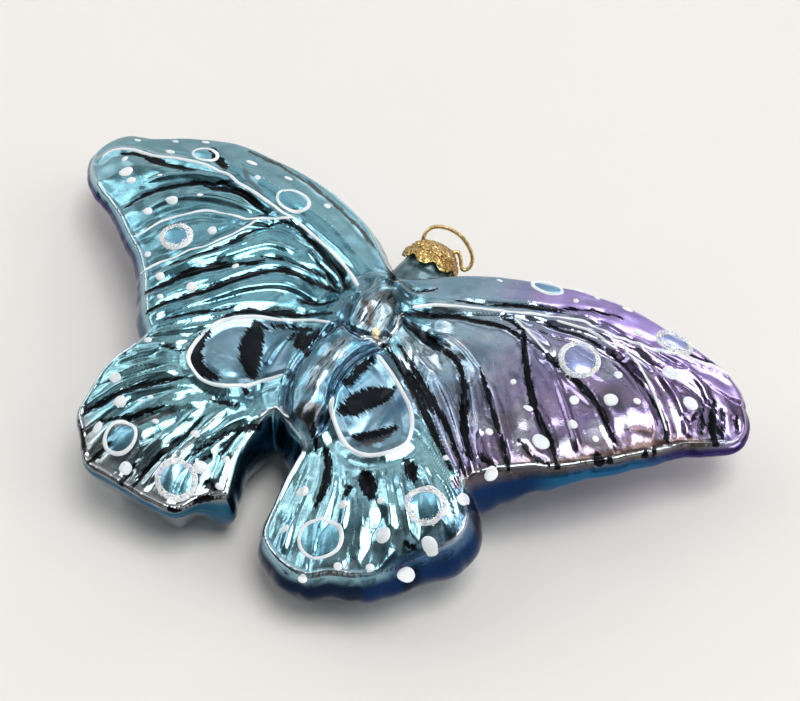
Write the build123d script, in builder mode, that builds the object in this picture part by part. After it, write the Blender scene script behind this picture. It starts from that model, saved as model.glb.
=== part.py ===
from build123d import *
import math
import os

# Hollow blown-glass butterfly ornament, lying on its belly, +Z up,
# neck and hanging loop along +Y, right wings along +X. Millimetres.

# ---- driving dimensions -------------------------------------------------
half_span = 65.0        # plan half width of the relief panel
wall = 0.95             # glass thickness
panel_z = 15.5          # height of the panel edge at the wing roots
dihedral_k = 0.2203     # first-order rise of the wings (per half span)
dihedral_q = -0.268     # second-order fall towards the wing tips
tail_droop = 5.0        # how far the rear edge of the hindwings falls
neck_tilt = 33.0        # the neck rises from the body at this angle, degrees
cap_at = (1.0, 30.47, 11.36)  # middle of the cap's rim, before centring
neck_r = 4.1            # neck outside radius
bore_r = 3.4            # neck bore radius
cap_sheet = 0.35        # cap sheet thickness
wire_r = 0.35           # hanger wire radius
hole_r = 0.43           # hanger holes in the cap
leg_s = 2.9             # half spacing of the hanger legs at the cap
leg_end = -3.4          # how far the legs reach down the neck, on the axis
loop_turn = 20.0        # loop plane turned about the neck axis, degrees
shift_x = 0.931         # plan frame -> part frame, so that the origin is central
shift_y = 0.336

# ---- plan outline of the relief panel, right wings from the neck to the tail, then left wings (x outwards) ----
right_plan = [
    (1.6, 22.4), (3.5, 23.8), (5.6, 25.2), (8.7, 26.8), (11.8, 28.2), (15.0, 29.5), (18.4, 30.4), (22.0, 31.0),
    (25.6, 31.4), (29.1, 31.9), (32.8, 32.3), (36.5, 32.4), (40.3, 32.4), (43.2, 32.2), (46.2, 31.8), (49.1, 31.7),
    (51.9, 31.8), (54.2, 31.6), (56.3, 31.2), (58.5, 30.6), (60.2, 29.6), (61.6, 28.1), (63.1, 26.2), (64.0, 24.2),
    (64.0, 21.9), (62.9, 19.9), (60.9, 18.1), (59.0, 16.4), (56.8, 15.0), (55.0, 12.9), (53.4, 10.6), (51.5, 8.8),
    (49.7, 6.9), (47.9, 4.9), (46.0, 3.2), (44.1, 1.5), (42.3, -0.2), (40.3, -1.7), (38.2, -2.8), (36.2, -4.3),
    (34.3, -5.7), (32.6, -7.1), (31.2, -8.4), (30.0, -9.7), (29.6, -11.2), (30.7, -12.2), (32.0, -13.4), (33.1, -15.0),
    (33.6, -16.9), (33.5, -18.8), (33.1, -20.3), (32.1, -21.7), (30.3, -23.4), (28.6, -25.2), (27.1, -27.2), (25.6, -29.3),
    (23.9, -31.1), (21.9, -32.3), (19.6, -33.1), (17.4, -34.0), (15.6, -35.5), (13.4, -35.9), (11.0, -35.6), (8.7, -34.9),
    (6.6, -33.9), (4.8, -32.5), (4.0, -31.1), (3.8, -29.3), (3.6, -27.3), (3.4, -25.5), (3.2, -23.8), (2.9, -21.8),
    (2.9, -19.8), (2.9, -17.9), (2.9, -16.0),
]
left_plan = [
    (4.0, 23.2), (7.0, 25.7), (9.9, 28.0), (12.8, 29.5), (15.4, 30.4), (19.1, 31.6), (22.7, 32.4), (26.1, 32.9),
    (29.5, 33.3), (32.8, 33.5), (36.2, 33.8), (39.1, 33.9), (41.7, 33.9), (44.2, 33.4), (46.6, 33.0), (49.4, 32.3),
    (52.3, 31.5), (54.9, 30.4), (57.7, 29.6), (60.0, 29.5), (62.1, 29.3), (63.8, 28.3), (65.1, 26.8), (65.9, 24.6),
    (65.8, 22.6), (65.0, 20.5), (63.8, 18.6), (61.8, 16.5), (59.7, 14.9), (57.5, 13.6), (55.0, 12.4), (52.7, 11.0),
    (50.3, 9.2), (48.3, 7.6), (46.2, 6.0), (44.1, 4.6), (42.0, 3.1), (40.3, 1.3), (38.7, -0.5), (37.1, -2.8),
    (35.4, -5.0), (34.0, -6.8), (32.3, -8.4), (30.9, -9.6), (31.0, -11.0), (31.5, -12.7), (32.3, -14.6), (33.3, -16.5),
    (34.0, -18.4), (34.3, -20.1), (34.2, -21.9), (34.2, -23.8), (34.1, -25.7), (34.2, -27.3), (33.6, -28.6), (32.1, -29.9),
    (30.8, -31.5), (29.5, -33.2), (28.2, -34.8), (26.1, -35.6), (23.7, -35.6), (21.7, -35.7), (19.9, -35.7), (18.1, -35.9),
    (16.1, -36.0), (14.2, -35.9), (12.3, -36.0), (10.6, -35.6), (9.2, -34.8), (8.4, -33.1), (7.5, -31.6), (6.3, -30.5),
    (4.6, -29.5), (3.7, -28.8), (4.3, -27.2), (4.7, -25.6), (5.2, -23.8), (5.7, -22.0), (5.7, -20.1), (5.6, -18.1),
    (5.4, -16.3), (5.2, -14.4), (4.4, -13.1),
]
outline = [(x, y) for x, y in right_plan]
outline.append((0.0, -15.5))
outline += [(-x, y) for x, y in reversed(left_plan)]
outline.append((0.0, 21.4))
n_out = len(outline)


def seg_distance(x, y):
    best = 1e9
    for i in range(n_out):
        ax, ay = outline[i]
        bx, by = outline[(i + 1) % n_out]
        dx, dy = bx - ax, by - ay
        t = max(0.0, min(1.0, ((x - ax) * dx + (y - ay) * dy) / (dx * dx + dy * dy)))
        best = min(best, math.hypot(x - ax - t * dx, y - ay - t * dy))
    return best


def inside(x, y):
    hit = False
    for i in range(n_out):
        ax, ay = outline[i]
        bx, by = outline[(i + 1) % n_out]
        if (ay > y) != (by > y) and x < (bx - ax) * (y - ay) / (by - ay) + ax:
            hit = not hit
    return hit


def smooth(t):
    t = max(0.0, min(1.0, t))
    return t * t * (3.0 - 2.0 * t)


def table(u, rows):
    if u <= rows[0][0]:
        return rows[0][1]
    for (a, va), (b, vb) in zip(rows, rows[1:]):
        if u <= b:
            return va + (vb - va) * smooth((u - a) / (b - a))
    return rows[-1][1]


def edge_z(x, y):
    ax = math.sqrt(x * x + 16.0) - 4.0
    z = panel_z + dihedral_k * ax + dihedral_q * x * x / half_span
    return z - tail_droop * smooth((-8.0 - y) / 30.0)


# height of the side wall below the panel edge, along the forewing and round the hindwing
fore_edge = [(0.40, 15.0), (0.46, 14.0), (0.53, 10.0), (0.60, 6.4), (0.70, 4.0), (0.85, 3.0), (1.0, 2.6)]
fore_core = [(0.35, 19.0), (0.50, 15.5), (0.65, 11.5), (0.80, 8.0), (1.0, 4.5)]


def edge_depth(x, y):
    u = abs(x) / half_span
    fore = table(u, fore_edge)
    hind = table(-y, [(0.0, 14.0), (14.0, 12.0), (26.0, 9.0), (36.0, 7.0)])
    return min(fore, hind) if y < 0.0 else min(fore, 11.5)


def core_depth(x, y):
    return table(abs(x) / half_span, fore_core)


def body_rise(x, y):
    v = y / half_span
    rise = table(v, [(-0.27, 0.0), (-0.21, 3.6), (-0.05, 4.4), (0.08, 4.6), (0.17, 5.6), (0.26, 5.0), (0.33, 0.5), (0.38, 0.0)])
    half_w = table(v, [(-0.25, 4.0), (-0.10, 5.6), (0.05, 6.0), (0.18, 5.4), (0.32, 4.2)])
    ridge = rise * math.exp(-((x / half_w) ** 2) * 1.1)
    valley = 1.6 * math.exp(-(((abs(x) - 1.9 * half_w) / (0.55 * half_w)) ** 2)) * smooth((v + 0.24) / 0.1) * smooth((0.30 - v) / 0.1)
    return ridge - valley


def top_z(x, y):
    d = seg_distance(x, y) if inside(x, y) else 0.0
    pillow = 1.2 * (1.0 - math.exp(-d / 6.0))
    return edge_z(x, y) + pillow + body_rise(x, y)


def bottom_z(x, y):
    d = seg_distance(x, y) if inside(x, y) else 0.0
    e, c = edge_depth(x, y), core_depth(x, y)
    depth = e + (max(e, c) + 1.5 - e) * (1.0 - math.exp(-d / 5.0))
    z = edge_z(x, y) - depth
    return 0.5 * (z + math.sqrt(z * z + 1.0)) - 0.046


# +1 if the outline runs counter-clockwise
turn_way = 1.0 if sum(outline[i][0] * outline[(i + 1) % n_out][1] - outline[(i + 1) % n_out][0] * outline[i][1] for i in range(n_out)) > 0 else -1.0


def bulge(x, y, t):
    """Outward swell of the side wall at share t of its height."""
    most = 0.4 + 0.16 * min(edge_depth(x, y), 12.0)
    if y < -0.2 * half_span and abs(x) < 0.12 * half_span:
        most *= 0.6
    return most * math.sin(math.pi * t ** 0.85)


# ---- skins as rings of points drawn round the outline --------------------
centre = (0.0, 3.0)
top_rings = [0.94, 0.86, 0.76, 0.65, 0.53, 0.41, 0.29, 0.17, 0.07, 0.018]
bottom_rings = [0.92, 0.80, 0.64, 0.44, 0.22, 0.06]
around = 96
rows = 4


def resample(points, count):
    closed = points + [points[0]]
    run = [0.0]
    for (ax, ay), (bx, by) in zip(closed, closed[1:]):
        # points lie closer together at the notch behind the body
        near = 1.0 + 2.0 * math.exp(-(ax * ax + (ay + 15.0) ** 2) / 20.0)
        run.append(run[-1] + near * math.hypot(bx - ax, by - ay))
    result = []
    k = 0
    for j in range(count):
        want = run[-1] * j / count
        while run[k + 1] < want:
            k += 1
        f = (want - run[k]) / (run[k + 1] - run[k])
        result.append((closed[k][0] + f * (closed[k + 1][0] - closed[k][0]), closed[k][1] + f * (closed[k + 1][1] - closed[k][1])))
    return result


def inward(x, y, share):
    """Point on the way from the outline point (x, y) to the centre, led through the middle of the hindwing."""
    w = smooth((-9.0 - y) / 5.0) * smooth((abs(x) - 0.5) / 2.4)
    ax, ay = centre[0] + math.copysign(10.0, x) * w, centre[1] - 13.0 * w
    t = math.sqrt(share)
    f, g, h = t * t, 2.0 * t * (1.0 - t), (1.0 - t) ** 2
    if w == 0.0:
        f, g, h = share, 0.0, 1.0 - share
    return f * x + g * ax + h * centre[0], f * y + g * ay + h * centre[1]


def skin(inset, tops, bottoms):
    """Rings of points over a skin that lies inset from the outside, top centre first."""
    rim = resample(outline, around)
    nrm = []
    for j in range(around):
        ax, ay = rim[j - 1]
        bx, by = rim[(j + 1) % around]
        length = math.hypot(bx - ax, by - ay)
        nrm.append(((by - ay) / length * turn_way, (ax - bx) / length * turn_way))
    rim_in = [(x - nx * inset, y - ny * inset) for (x, y), (nx, ny) in zip(rim, nrm)]
    cx, cy = centre
    rings = []
    for t in reversed(tops):
        ring = []
        for x, y in rim_in:
            px, py = inward(x, y, t)
            ring.append((px, py, top_z(px, py) - inset))
        rings.append(ring)
    for r in range(rows + 1):
        t = 1.0 - r / rows
        ring = []
        for (x, y), (nx, ny) in zip(rim_in, nrm):
            zt, zb = top_z(x, y) - inset, bottom_z(x, y) + inset
            o = bulge(x, y, t)
            ring.append((x + nx * o, y + ny * o, zb + (zt - zb) * t))
        rings.append(ring)
    for t in bottoms:
        ring = []
        for x, y in rim_in:
            px, py = inward(x, y, t)
            ring.append((px, py, bottom_z(px, py) + inset))
        rings.append(ring)
    first = (cx, cy, top_z(cx, cy) - inset)
    last = (cx, cy, bottom_z(cx, cy) + inset)
    return first, rings, last


def skin_faces(first, rings, last, side, way):
    """Triangles of a skin, leaving out the patch of side wall that the neck grows from."""
    tri = []
    for j in range(around):
        k = (j + 1) % around
        tri.append((first, rings[0][j], rings[0][k]))
        for r in range(len(rings) - 1):
            if side <= r < side + rows and j in patch:
                continue
            a, b = rings[r], rings[r + 1]
            tri.append((a[j], b[j], b[k]))
            tri.append((a[j], b[k], a[k]))
        tri.append((rings[-1][j], last, rings[-1][k]))
    return [t if way > 0 else (t[0], t[2], t[1]) for t in tri]


def patch_loop(rings, side):
    """The edge of the left-out patch, once round."""
    c0, c1 = patch[0], (patch[-1] + 1) % around
    cols = patch + [c1]
    loop = [rings[side][c] for c in cols]
    loop += [rings[side + r][c1] for r in range(1, rows)]
    loop += [rings[side + rows][c] for c in reversed(cols)]
    loop += [rings[side + r][c0] for r in range(rows - 1, 0, -1)]
    return loop


def neck_ring(loop, r, t, tilt=neck_tilt, at=None):
    """Circle round the neck axis, t beyond the cap's rim, with one point for each point of the patch edge."""
    n = len(loop)
    c, sn = math.cos(math.radians(tilt)), math.sin(math.radians(tilt))
    mx, my, mz = at or (cap_at[0], cap_at[1] + t * c, cap_at[2] + t * sn)

    def angle(p):
        return math.atan2((p[2] - mz) * c - (p[1] - my) * sn, p[0] - mx)

    start = angle(loop[0])
    sweep_by = sum(math.remainder(angle(loop[(i + 1) % n]) - angle(loop[i]), 2 * math.pi) for i in range(n))
    way = 1.0 if sweep_by > 0 else -1.0
    ring = []
    for i in range(n):
        f = start + way * 2 * math.pi * i / n
        ring.append((mx + r * math.cos(f), my - r * math.sin(f) * sn, mz + r * math.sin(f) * c))
    return ring


def band(a, b):
    tri = []
    n = len(a)
    for i in range(n):
        k = (i + 1) % n
        tri.append((a[i], a[k], b[k]))
        tri.append((a[i], b[k], b[i]))
    return tri


tilt_c, tilt_s = math.cos(math.radians(neck_tilt)), math.sin(math.radians(neck_tilt))
axis_dir = (0.0, tilt_c, tilt_s)
over_dir = (0.0, -tilt_s, tilt_c)


def on_axis(t):
    """Point of the neck axis in the part frame, t beyond the cap's rim."""
    return (shift_x + cap_at[0], shift_y + cap_at[1] + t * tilt_c, cap_at[2] + t * tilt_s)

# ---- blown glass shell: wings, body and neck in one piece ----------------
outer_skin = skin(0.0, top_rings, bottom_rings)
inner_skin = skin(wall * 1.1, [0.85, 0.65, 0.45, 0.22, 0.06], [0.80, 0.55, 0.25, 0.06])
# the side wall columns nearest the neck
front = min(range(around), key=lambda j: math.hypot(outer_skin[1][len(top_rings)][j][0], outer_skin[1][len(top_rings)][j][1] - 21.5))
patch = [(front + d) % around for d in (-2, -1, 0, 1)]

triangles = skin_faces(*outer_skin, len(top_rings), 1)
triangles += skin_faces(*inner_skin, 5, -1)
outer_loop = patch_loop(outer_skin[1], len(top_rings))
inner_loop = patch_loop(inner_skin[1], 5)
chain = [outer_loop, neck_ring(outer_loop, 5.4, 0.0, 12.0, (0.8, 26.0, 8.8)), neck_ring(outer_loop, 4.9, -1.9, 27.0), neck_ring(outer_loop, 4.3, -0.9),
         neck_ring(outer_loop, neck_r, -0.2), neck_ring(outer_loop, neck_r, 1.0), neck_ring(outer_loop, bore_r, 1.0), neck_ring(outer_loop, bore_r, -2.6),
         inner_loop]
for a, b in zip(chain, chain[1:]):
    triangles += band(a, b)

faces = []
for three in triangles:
    faces.append(Face(Wire.make_polygon([Vector(x + shift_x, y + shift_y, z) for x, y, z in three])))
with BuildPart() as glass_shell:
    add(Solid(Shell(faces)))
glass_shell.part.label = "glass_shell"

# ---- stamped cap over the neck, radius and way along the axis ------------
outer_profile = [(5.30, -0.9), (5.15, 0.2), (4.75, 1.1), (4.25, 1.8), (3.66, 2.45), (2.90, 3.08), (1.50, 3.62), (0.0, 3.80)]
inner_profile = [(0.0, 3.45), (1.40, 3.28), (2.72, 2.77), (3.42, 2.19), (3.97, 1.58), (4.44, 0.93), (4.80, 0.12), (4.95, -0.9)]
with BuildPart() as cap:
    with BuildSketch(Plane(origin=on_axis(0.0), x_dir=(1, 0, 0), z_dir=over_dir)):
        with BuildLine():
            Spline(*outer_profile)
            Line(outer_profile[-1], inner_profile[0])
            Spline(*inner_profile)
            Line(inner_profile[-1], outer_profile[0])
        make_face()
    revolve(axis=Axis(on_axis(0.0), axis_dir), revolution_arc=360)
    # notches between the lobes of the rim
    for k in range(8):
        a = math.radians(45.0 * k + 22.5)
        out_dir = (math.cos(a), -math.sin(a) * tilt_s, math.sin(a) * tilt_c)
        with BuildSketch(Plane(origin=on_axis(-1.3), x_dir=axis_dir, z_dir=out_dir)):
            Circle(1.05)
        extrude(amount=7.0, mode=Mode.SUBTRACT)
    # two holes for the hanger wire
    for side in (-1, 1):
        a = math.radians(loop_turn)
        with BuildSketch(Plane(origin=on_axis(0.5), x_dir=(1, 0, 0), z_dir=axis_dir)):
            with Locations((side * leg_s * math.cos(a), side * leg_s * math.sin(a))):
                Circle(hole_r)
        extrude(amount=5.0, mode=Mode.SUBTRACT)
cap.part.label = "cap"

# ---- hanger: loop outside, two legs inside the neck ----------------------
def wire_point(s, t):
    """Point of the wire's plane, s across and t along the neck axis beyond the cap's rim."""
    turn = math.radians(loop_turn)
    x, y, z = on_axis(t)
    return (x + s * math.cos(turn), y + s * math.sin(turn) * tilt_s, z - s * math.sin(turn) * tilt_c)


back_dir = (0.0, -tilt_c, -tilt_s)
loop_pts = [(-leg_s, 2.6), (-3.0, 3.9), (-2.85, 4.95), (-2.1, 5.95), (-0.9, 6.55), (0.9, 6.8), (2.95, 6.45), (5.0, 5.3), (6.3, 3.95),
            (6.7, 2.75), (6.4, 1.65), (5.75, 1.2), (5.2, 1.65), (4.75, 2.45), (4.15, 3.25), (3.5, 3.62), (2.98, 3.3), (leg_s, 2.6)]
with BuildPart() as hanger:
    with BuildLine() as wire_path:
        Line(wire_point(-leg_s, leg_end), wire_point(-leg_s, 2.6))
        Spline(*[wire_point(s, t) for s, t in loop_pts], tangents=[axis_dir, back_dir])
        Line(wire_point(leg_s, 2.6), wire_point(leg_s, leg_end))
    start = wire_path.wires()[0]
    with BuildSketch(Plane(origin=start @ 0, z_dir=start % 0)):
        Circle(wire_r)
    sweep(path=start)
hanger.part.label = "hanger"

os.makedirs("parts", exist_ok=True)
export_step(glass_shell.part, "parts/glass_shell.step")
export_step(cap.part, "parts/cap.step")
export_step(hanger.part, "parts/hanger.step")

for name, body in (("glass_shell", glass_shell), ("cap", cap), ("hanger", hanger)):
    bb = body.part.bounding_box()
    print(name, len(body.part.solids()), body.part.is_valid, round(body.part.volume, 1), bb.min, bb.max)
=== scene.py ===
import bpy, math
import numpy as np
from mathutils import Vector, Matrix
from mathutils.geometry import delaunay_2d_cdt


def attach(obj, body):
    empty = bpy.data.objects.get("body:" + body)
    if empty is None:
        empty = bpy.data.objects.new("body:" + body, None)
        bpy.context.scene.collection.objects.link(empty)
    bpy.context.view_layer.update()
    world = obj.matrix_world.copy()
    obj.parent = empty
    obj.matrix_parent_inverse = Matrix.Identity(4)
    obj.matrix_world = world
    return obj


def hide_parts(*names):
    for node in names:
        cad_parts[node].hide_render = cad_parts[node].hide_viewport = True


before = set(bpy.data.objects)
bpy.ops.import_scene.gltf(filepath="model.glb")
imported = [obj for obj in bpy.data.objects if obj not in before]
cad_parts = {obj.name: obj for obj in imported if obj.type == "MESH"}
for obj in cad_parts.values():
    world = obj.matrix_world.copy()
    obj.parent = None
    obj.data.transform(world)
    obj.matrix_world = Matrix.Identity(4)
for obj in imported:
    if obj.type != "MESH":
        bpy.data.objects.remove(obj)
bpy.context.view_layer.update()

# Butterfly ornament of mirror-silvered blown glass: relief, lacquer, enamel, cap and wire.
# Everything is worked out in a plan frame in millimetres and shifted into the part frame.
SX, SY = 0.931, 0.336
SPAN = 65.0
NECK_TILT = math.radians(33.0)
CAP_AT = (1.0, 30.47, 11.36)
LOOP_TURN = math.radians(20.0)
rng = np.random.default_rng(7)

# ---- read-off plan curves -------------------------------------------------
LEFT_EDGE = [
    (-4.0, 23.2),
    (-7.0, 25.7),
    (-9.9, 28.0),
    (-12.8, 29.5),
    (-15.4, 30.4),
    (-19.1, 31.6),
    (-22.7, 32.4),
    (-26.1, 32.9),
    (-29.5, 33.3),
    (-32.8, 33.5),
    (-36.2, 33.8),
    (-39.1, 33.9),
    (-41.7, 33.9),
    (-44.2, 33.4),
    (-46.6, 33.0),
    (-49.4, 32.3),
    (-52.3, 31.5),
    (-54.9, 30.4),
    (-57.7, 29.6),
    (-60.0, 29.5),
    (-62.1, 29.3),
    (-63.8, 28.3),
    (-65.1, 26.8),
    (-65.9, 24.6),
    (-65.8, 22.6),
    (-65.0, 20.5),
    (-63.8, 18.6),
    (-61.8, 16.5),
    (-59.7, 14.9),
    (-57.5, 13.6),
    (-55.0, 12.4),
    (-52.7, 11.0),
    (-50.3, 9.2),
    (-48.3, 7.6),
    (-46.2, 6.0),
    (-44.1, 4.6),
    (-42.0, 3.1),
    (-40.3, 1.3),
    (-38.7, -0.5),
    (-37.1, -2.8),
    (-35.4, -5.0),
    (-34.0, -6.8),
    (-32.3, -8.4),
    (-30.9, -9.6),
    (-31.0, -11.0),
    (-31.5, -12.7),
    (-32.3, -14.6),
    (-33.3, -16.5),
    (-34.0, -18.4),
    (-34.3, -20.1),
    (-34.2, -21.9),
    (-34.2, -23.8),
    (-34.1, -25.7),
    (-34.2, -27.3),
    (-33.6, -28.6),
    (-32.1, -29.9),
    (-30.8, -31.5),
    (-29.5, -33.2),
    (-28.2, -34.8),
    (-26.1, -35.6),
    (-23.7, -35.6),
    (-21.7, -35.7),
    (-19.9, -35.7),
    (-18.1, -35.9),
    (-16.1, -36.0),
    (-14.2, -35.9),
    (-12.3, -36.0),
    (-10.6, -35.6),
    (-9.2, -34.8),
    (-8.4, -33.1),
    (-7.5, -31.6),
    (-6.3, -30.5),
    (-4.6, -29.5),
    (-3.7, -28.8),
    (-4.3, -27.2),
    (-4.7, -25.6),
    (-5.2, -23.8),
    (-5.7, -22.0),
    (-5.7, -20.1),
    (-5.6, -18.1),
    (-5.4, -16.3),
    (-5.2, -14.4),
    (-4.4, -13.1),
]
RIGHT_EDGE = [
    (1.6, 22.4),
    (3.5, 23.8),
    (5.6, 25.2),
    (8.7, 26.8),
    (11.8, 28.2),
    (15.0, 29.5),
    (18.4, 30.4),
    (22.0, 31.0),
    (25.6, 31.4),
    (29.1, 32.2),
    (32.8, 32.8),
    (36.5, 33.2),
    (40.3, 33.3),
    (43.2, 33.1),
    (46.2, 32.7),
    (49.1, 32.4),
    (51.9, 32.2),
    (54.2, 31.9),
    (56.3, 31.5),
    (58.5, 30.6),
    (60.2, 29.6),
    (61.6, 28.1),
    (63.1, 26.2),
    (64.0, 24.2),
    (64.0, 21.9),
    (62.9, 19.9),
    (60.9, 18.1),
    (59.0, 16.4),
    (56.8, 15.0),
    (55.0, 12.9),
    (53.4, 10.6),
    (51.5, 8.8),
    (49.7, 6.9),
    (47.9, 4.9),
    (46.0, 3.2),
    (44.1, 1.5),
    (42.3, -0.2),
    (40.3, -1.7),
    (38.2, -2.8),
    (36.2, -4.3),
    (34.3, -5.7),
    (32.6, -7.1),
    (31.2, -8.4),
    (30.0, -9.7),
    (29.6, -11.2),
    (30.7, -12.2),
    (32.0, -13.4),
    (33.1, -15.0),
    (33.6, -16.9),
    (33.5, -18.8),
    (33.1, -20.3),
    (32.1, -21.7),
    (30.3, -23.4),
    (28.6, -25.2),
    (27.1, -27.2),
    (25.6, -29.3),
    (23.9, -31.1),
    (21.9, -32.3),
    (19.6, -33.1),
    (17.4, -34.0),
    (15.6, -35.5),
    (13.4, -35.9),
    (11.0, -35.6),
    (8.7, -34.9),
    (6.6, -33.9),
    (4.8, -32.5),
    (4.0, -31.1),
    (3.8, -29.3),
    (3.6, -27.3),
    (3.4, -25.5),
    (3.2, -23.8),
    (2.9, -21.8),
    (2.9, -19.8),
    (2.9, -17.9),
    (2.9, -16.0),
]
ENAMEL = [
    (0.76, [(-4.1, 14.1), (-7.8, 17.4), (-10.6, 18.7), (-13.1, 19.6), (-16.0, 20.4), (-19.2, 21.4), (-22.1, 22.1), (-24.6, 22.5), (-27.5, 23.2), (-30.4, 23.9), (-33.5, 24.4), (-35.1, 24.7), (-37.8, 25.6), (-39.5, 25.6), (-43.0, 26.1), (-45.8, 26.0), (-49.3, 25.6), (-52.3, 25.1), (-55.7, 25.1), (-58.6, 25.1), (-60.9, 24.5), (-62.8, 23.2), (-63.3, 21.6)]),
    (0.64, [(-22.2, 22.0), (-24.8, 20.5), (-27.0, 19.0), (-28.8, 18.0), (-31.2, 17.5), (-33.9, 16.9), (-36.6, 16.2), (-38.8, 14.6), (-40.8, 12.9), (-42.7, 11.0), (-43.6, 9.0), (-44.5, 7.3), (-45.4, 6.2)]),
    (0.51, [(-26.8, 18.8), (-28.2, 16.0), (-29.1, 14.2), (-30.7, 11.8), (-32.2, 9.4), (-34.1, 7.4), (-35.6, 5.1), (-37.5, 3.2), (-38.7, 1.3), (-39.7, -0.1)]),
    (0.81, [(-4.0, 4.7), (-10.3, 4.8), (-14.5, 1.9), (-17.3, 0.1), (-19.8, -2.2), (-21.3, -4.5), (-22.2, -7.8), (-22.2, -10.8), (-21.7, -12.2), (-20.1, -13.5), (-18.0, -14.4), (-15.6, -14.4), (-13.6, -13.7), (-11.0, -11.7), (-9.4, -9.0), (-7.5, -7.9), (-6.2, -7.1)]),
    (0.71, [(5.6, 15.3), (7.7, 17.8), (10.9, 19.1), (14.0, 20.3), (17.3, 21.4), (20.6, 22.4), (23.8, 23.6), (26.9, 24.8), (30.0, 26.1), (32.6, 26.7), (35.5, 26.5), (38.2, 26.7), (40.7, 27.2), (44.2, 27.8), (46.6, 28.6), (49.0, 29.6), (52.4, 30.3), (54.9, 31.0), (57.4, 31.0)]),
    (0.54, [(28.3, 24.4), (30.7, 24.8), (33.3, 25.2), (36.1, 25.2), (38.2, 24.8), (39.7, 24.4)]),
    (0.44, [(36.0, 26.6), (38.2, 25.8), (39.7, 24.4)]),
    (0.47, [(39.6, 26.5), (41.9, 24.8), (44.5, 23.3), (46.8, 21.6), (49.2, 19.6), (51.5, 17.3), (53.4, 15.3)]),
    (0.37, [(42.5, 27.4), (44.8, 26.6), (47.1, 26.5)]),
    (0.44, [(21.8, 21.5), (24.6, 20.1), (27.2, 18.7), (29.6, 17.6)]),
    (0.95, [(5.6, 3.4), (7.4, 2.8), (9.9, 1.8), (13.3, -0.9), (16.2, -4.1), (17.8, -6.8), (18.4, -9.4), (17.4, -11.5), (15.3, -13.5), (12.9, -14.3), (10.4, -13.9), (7.5, -12.2), (5.6, -10.8), (4.1, -9.2), (3.4, -7.3)]),
]
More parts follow.
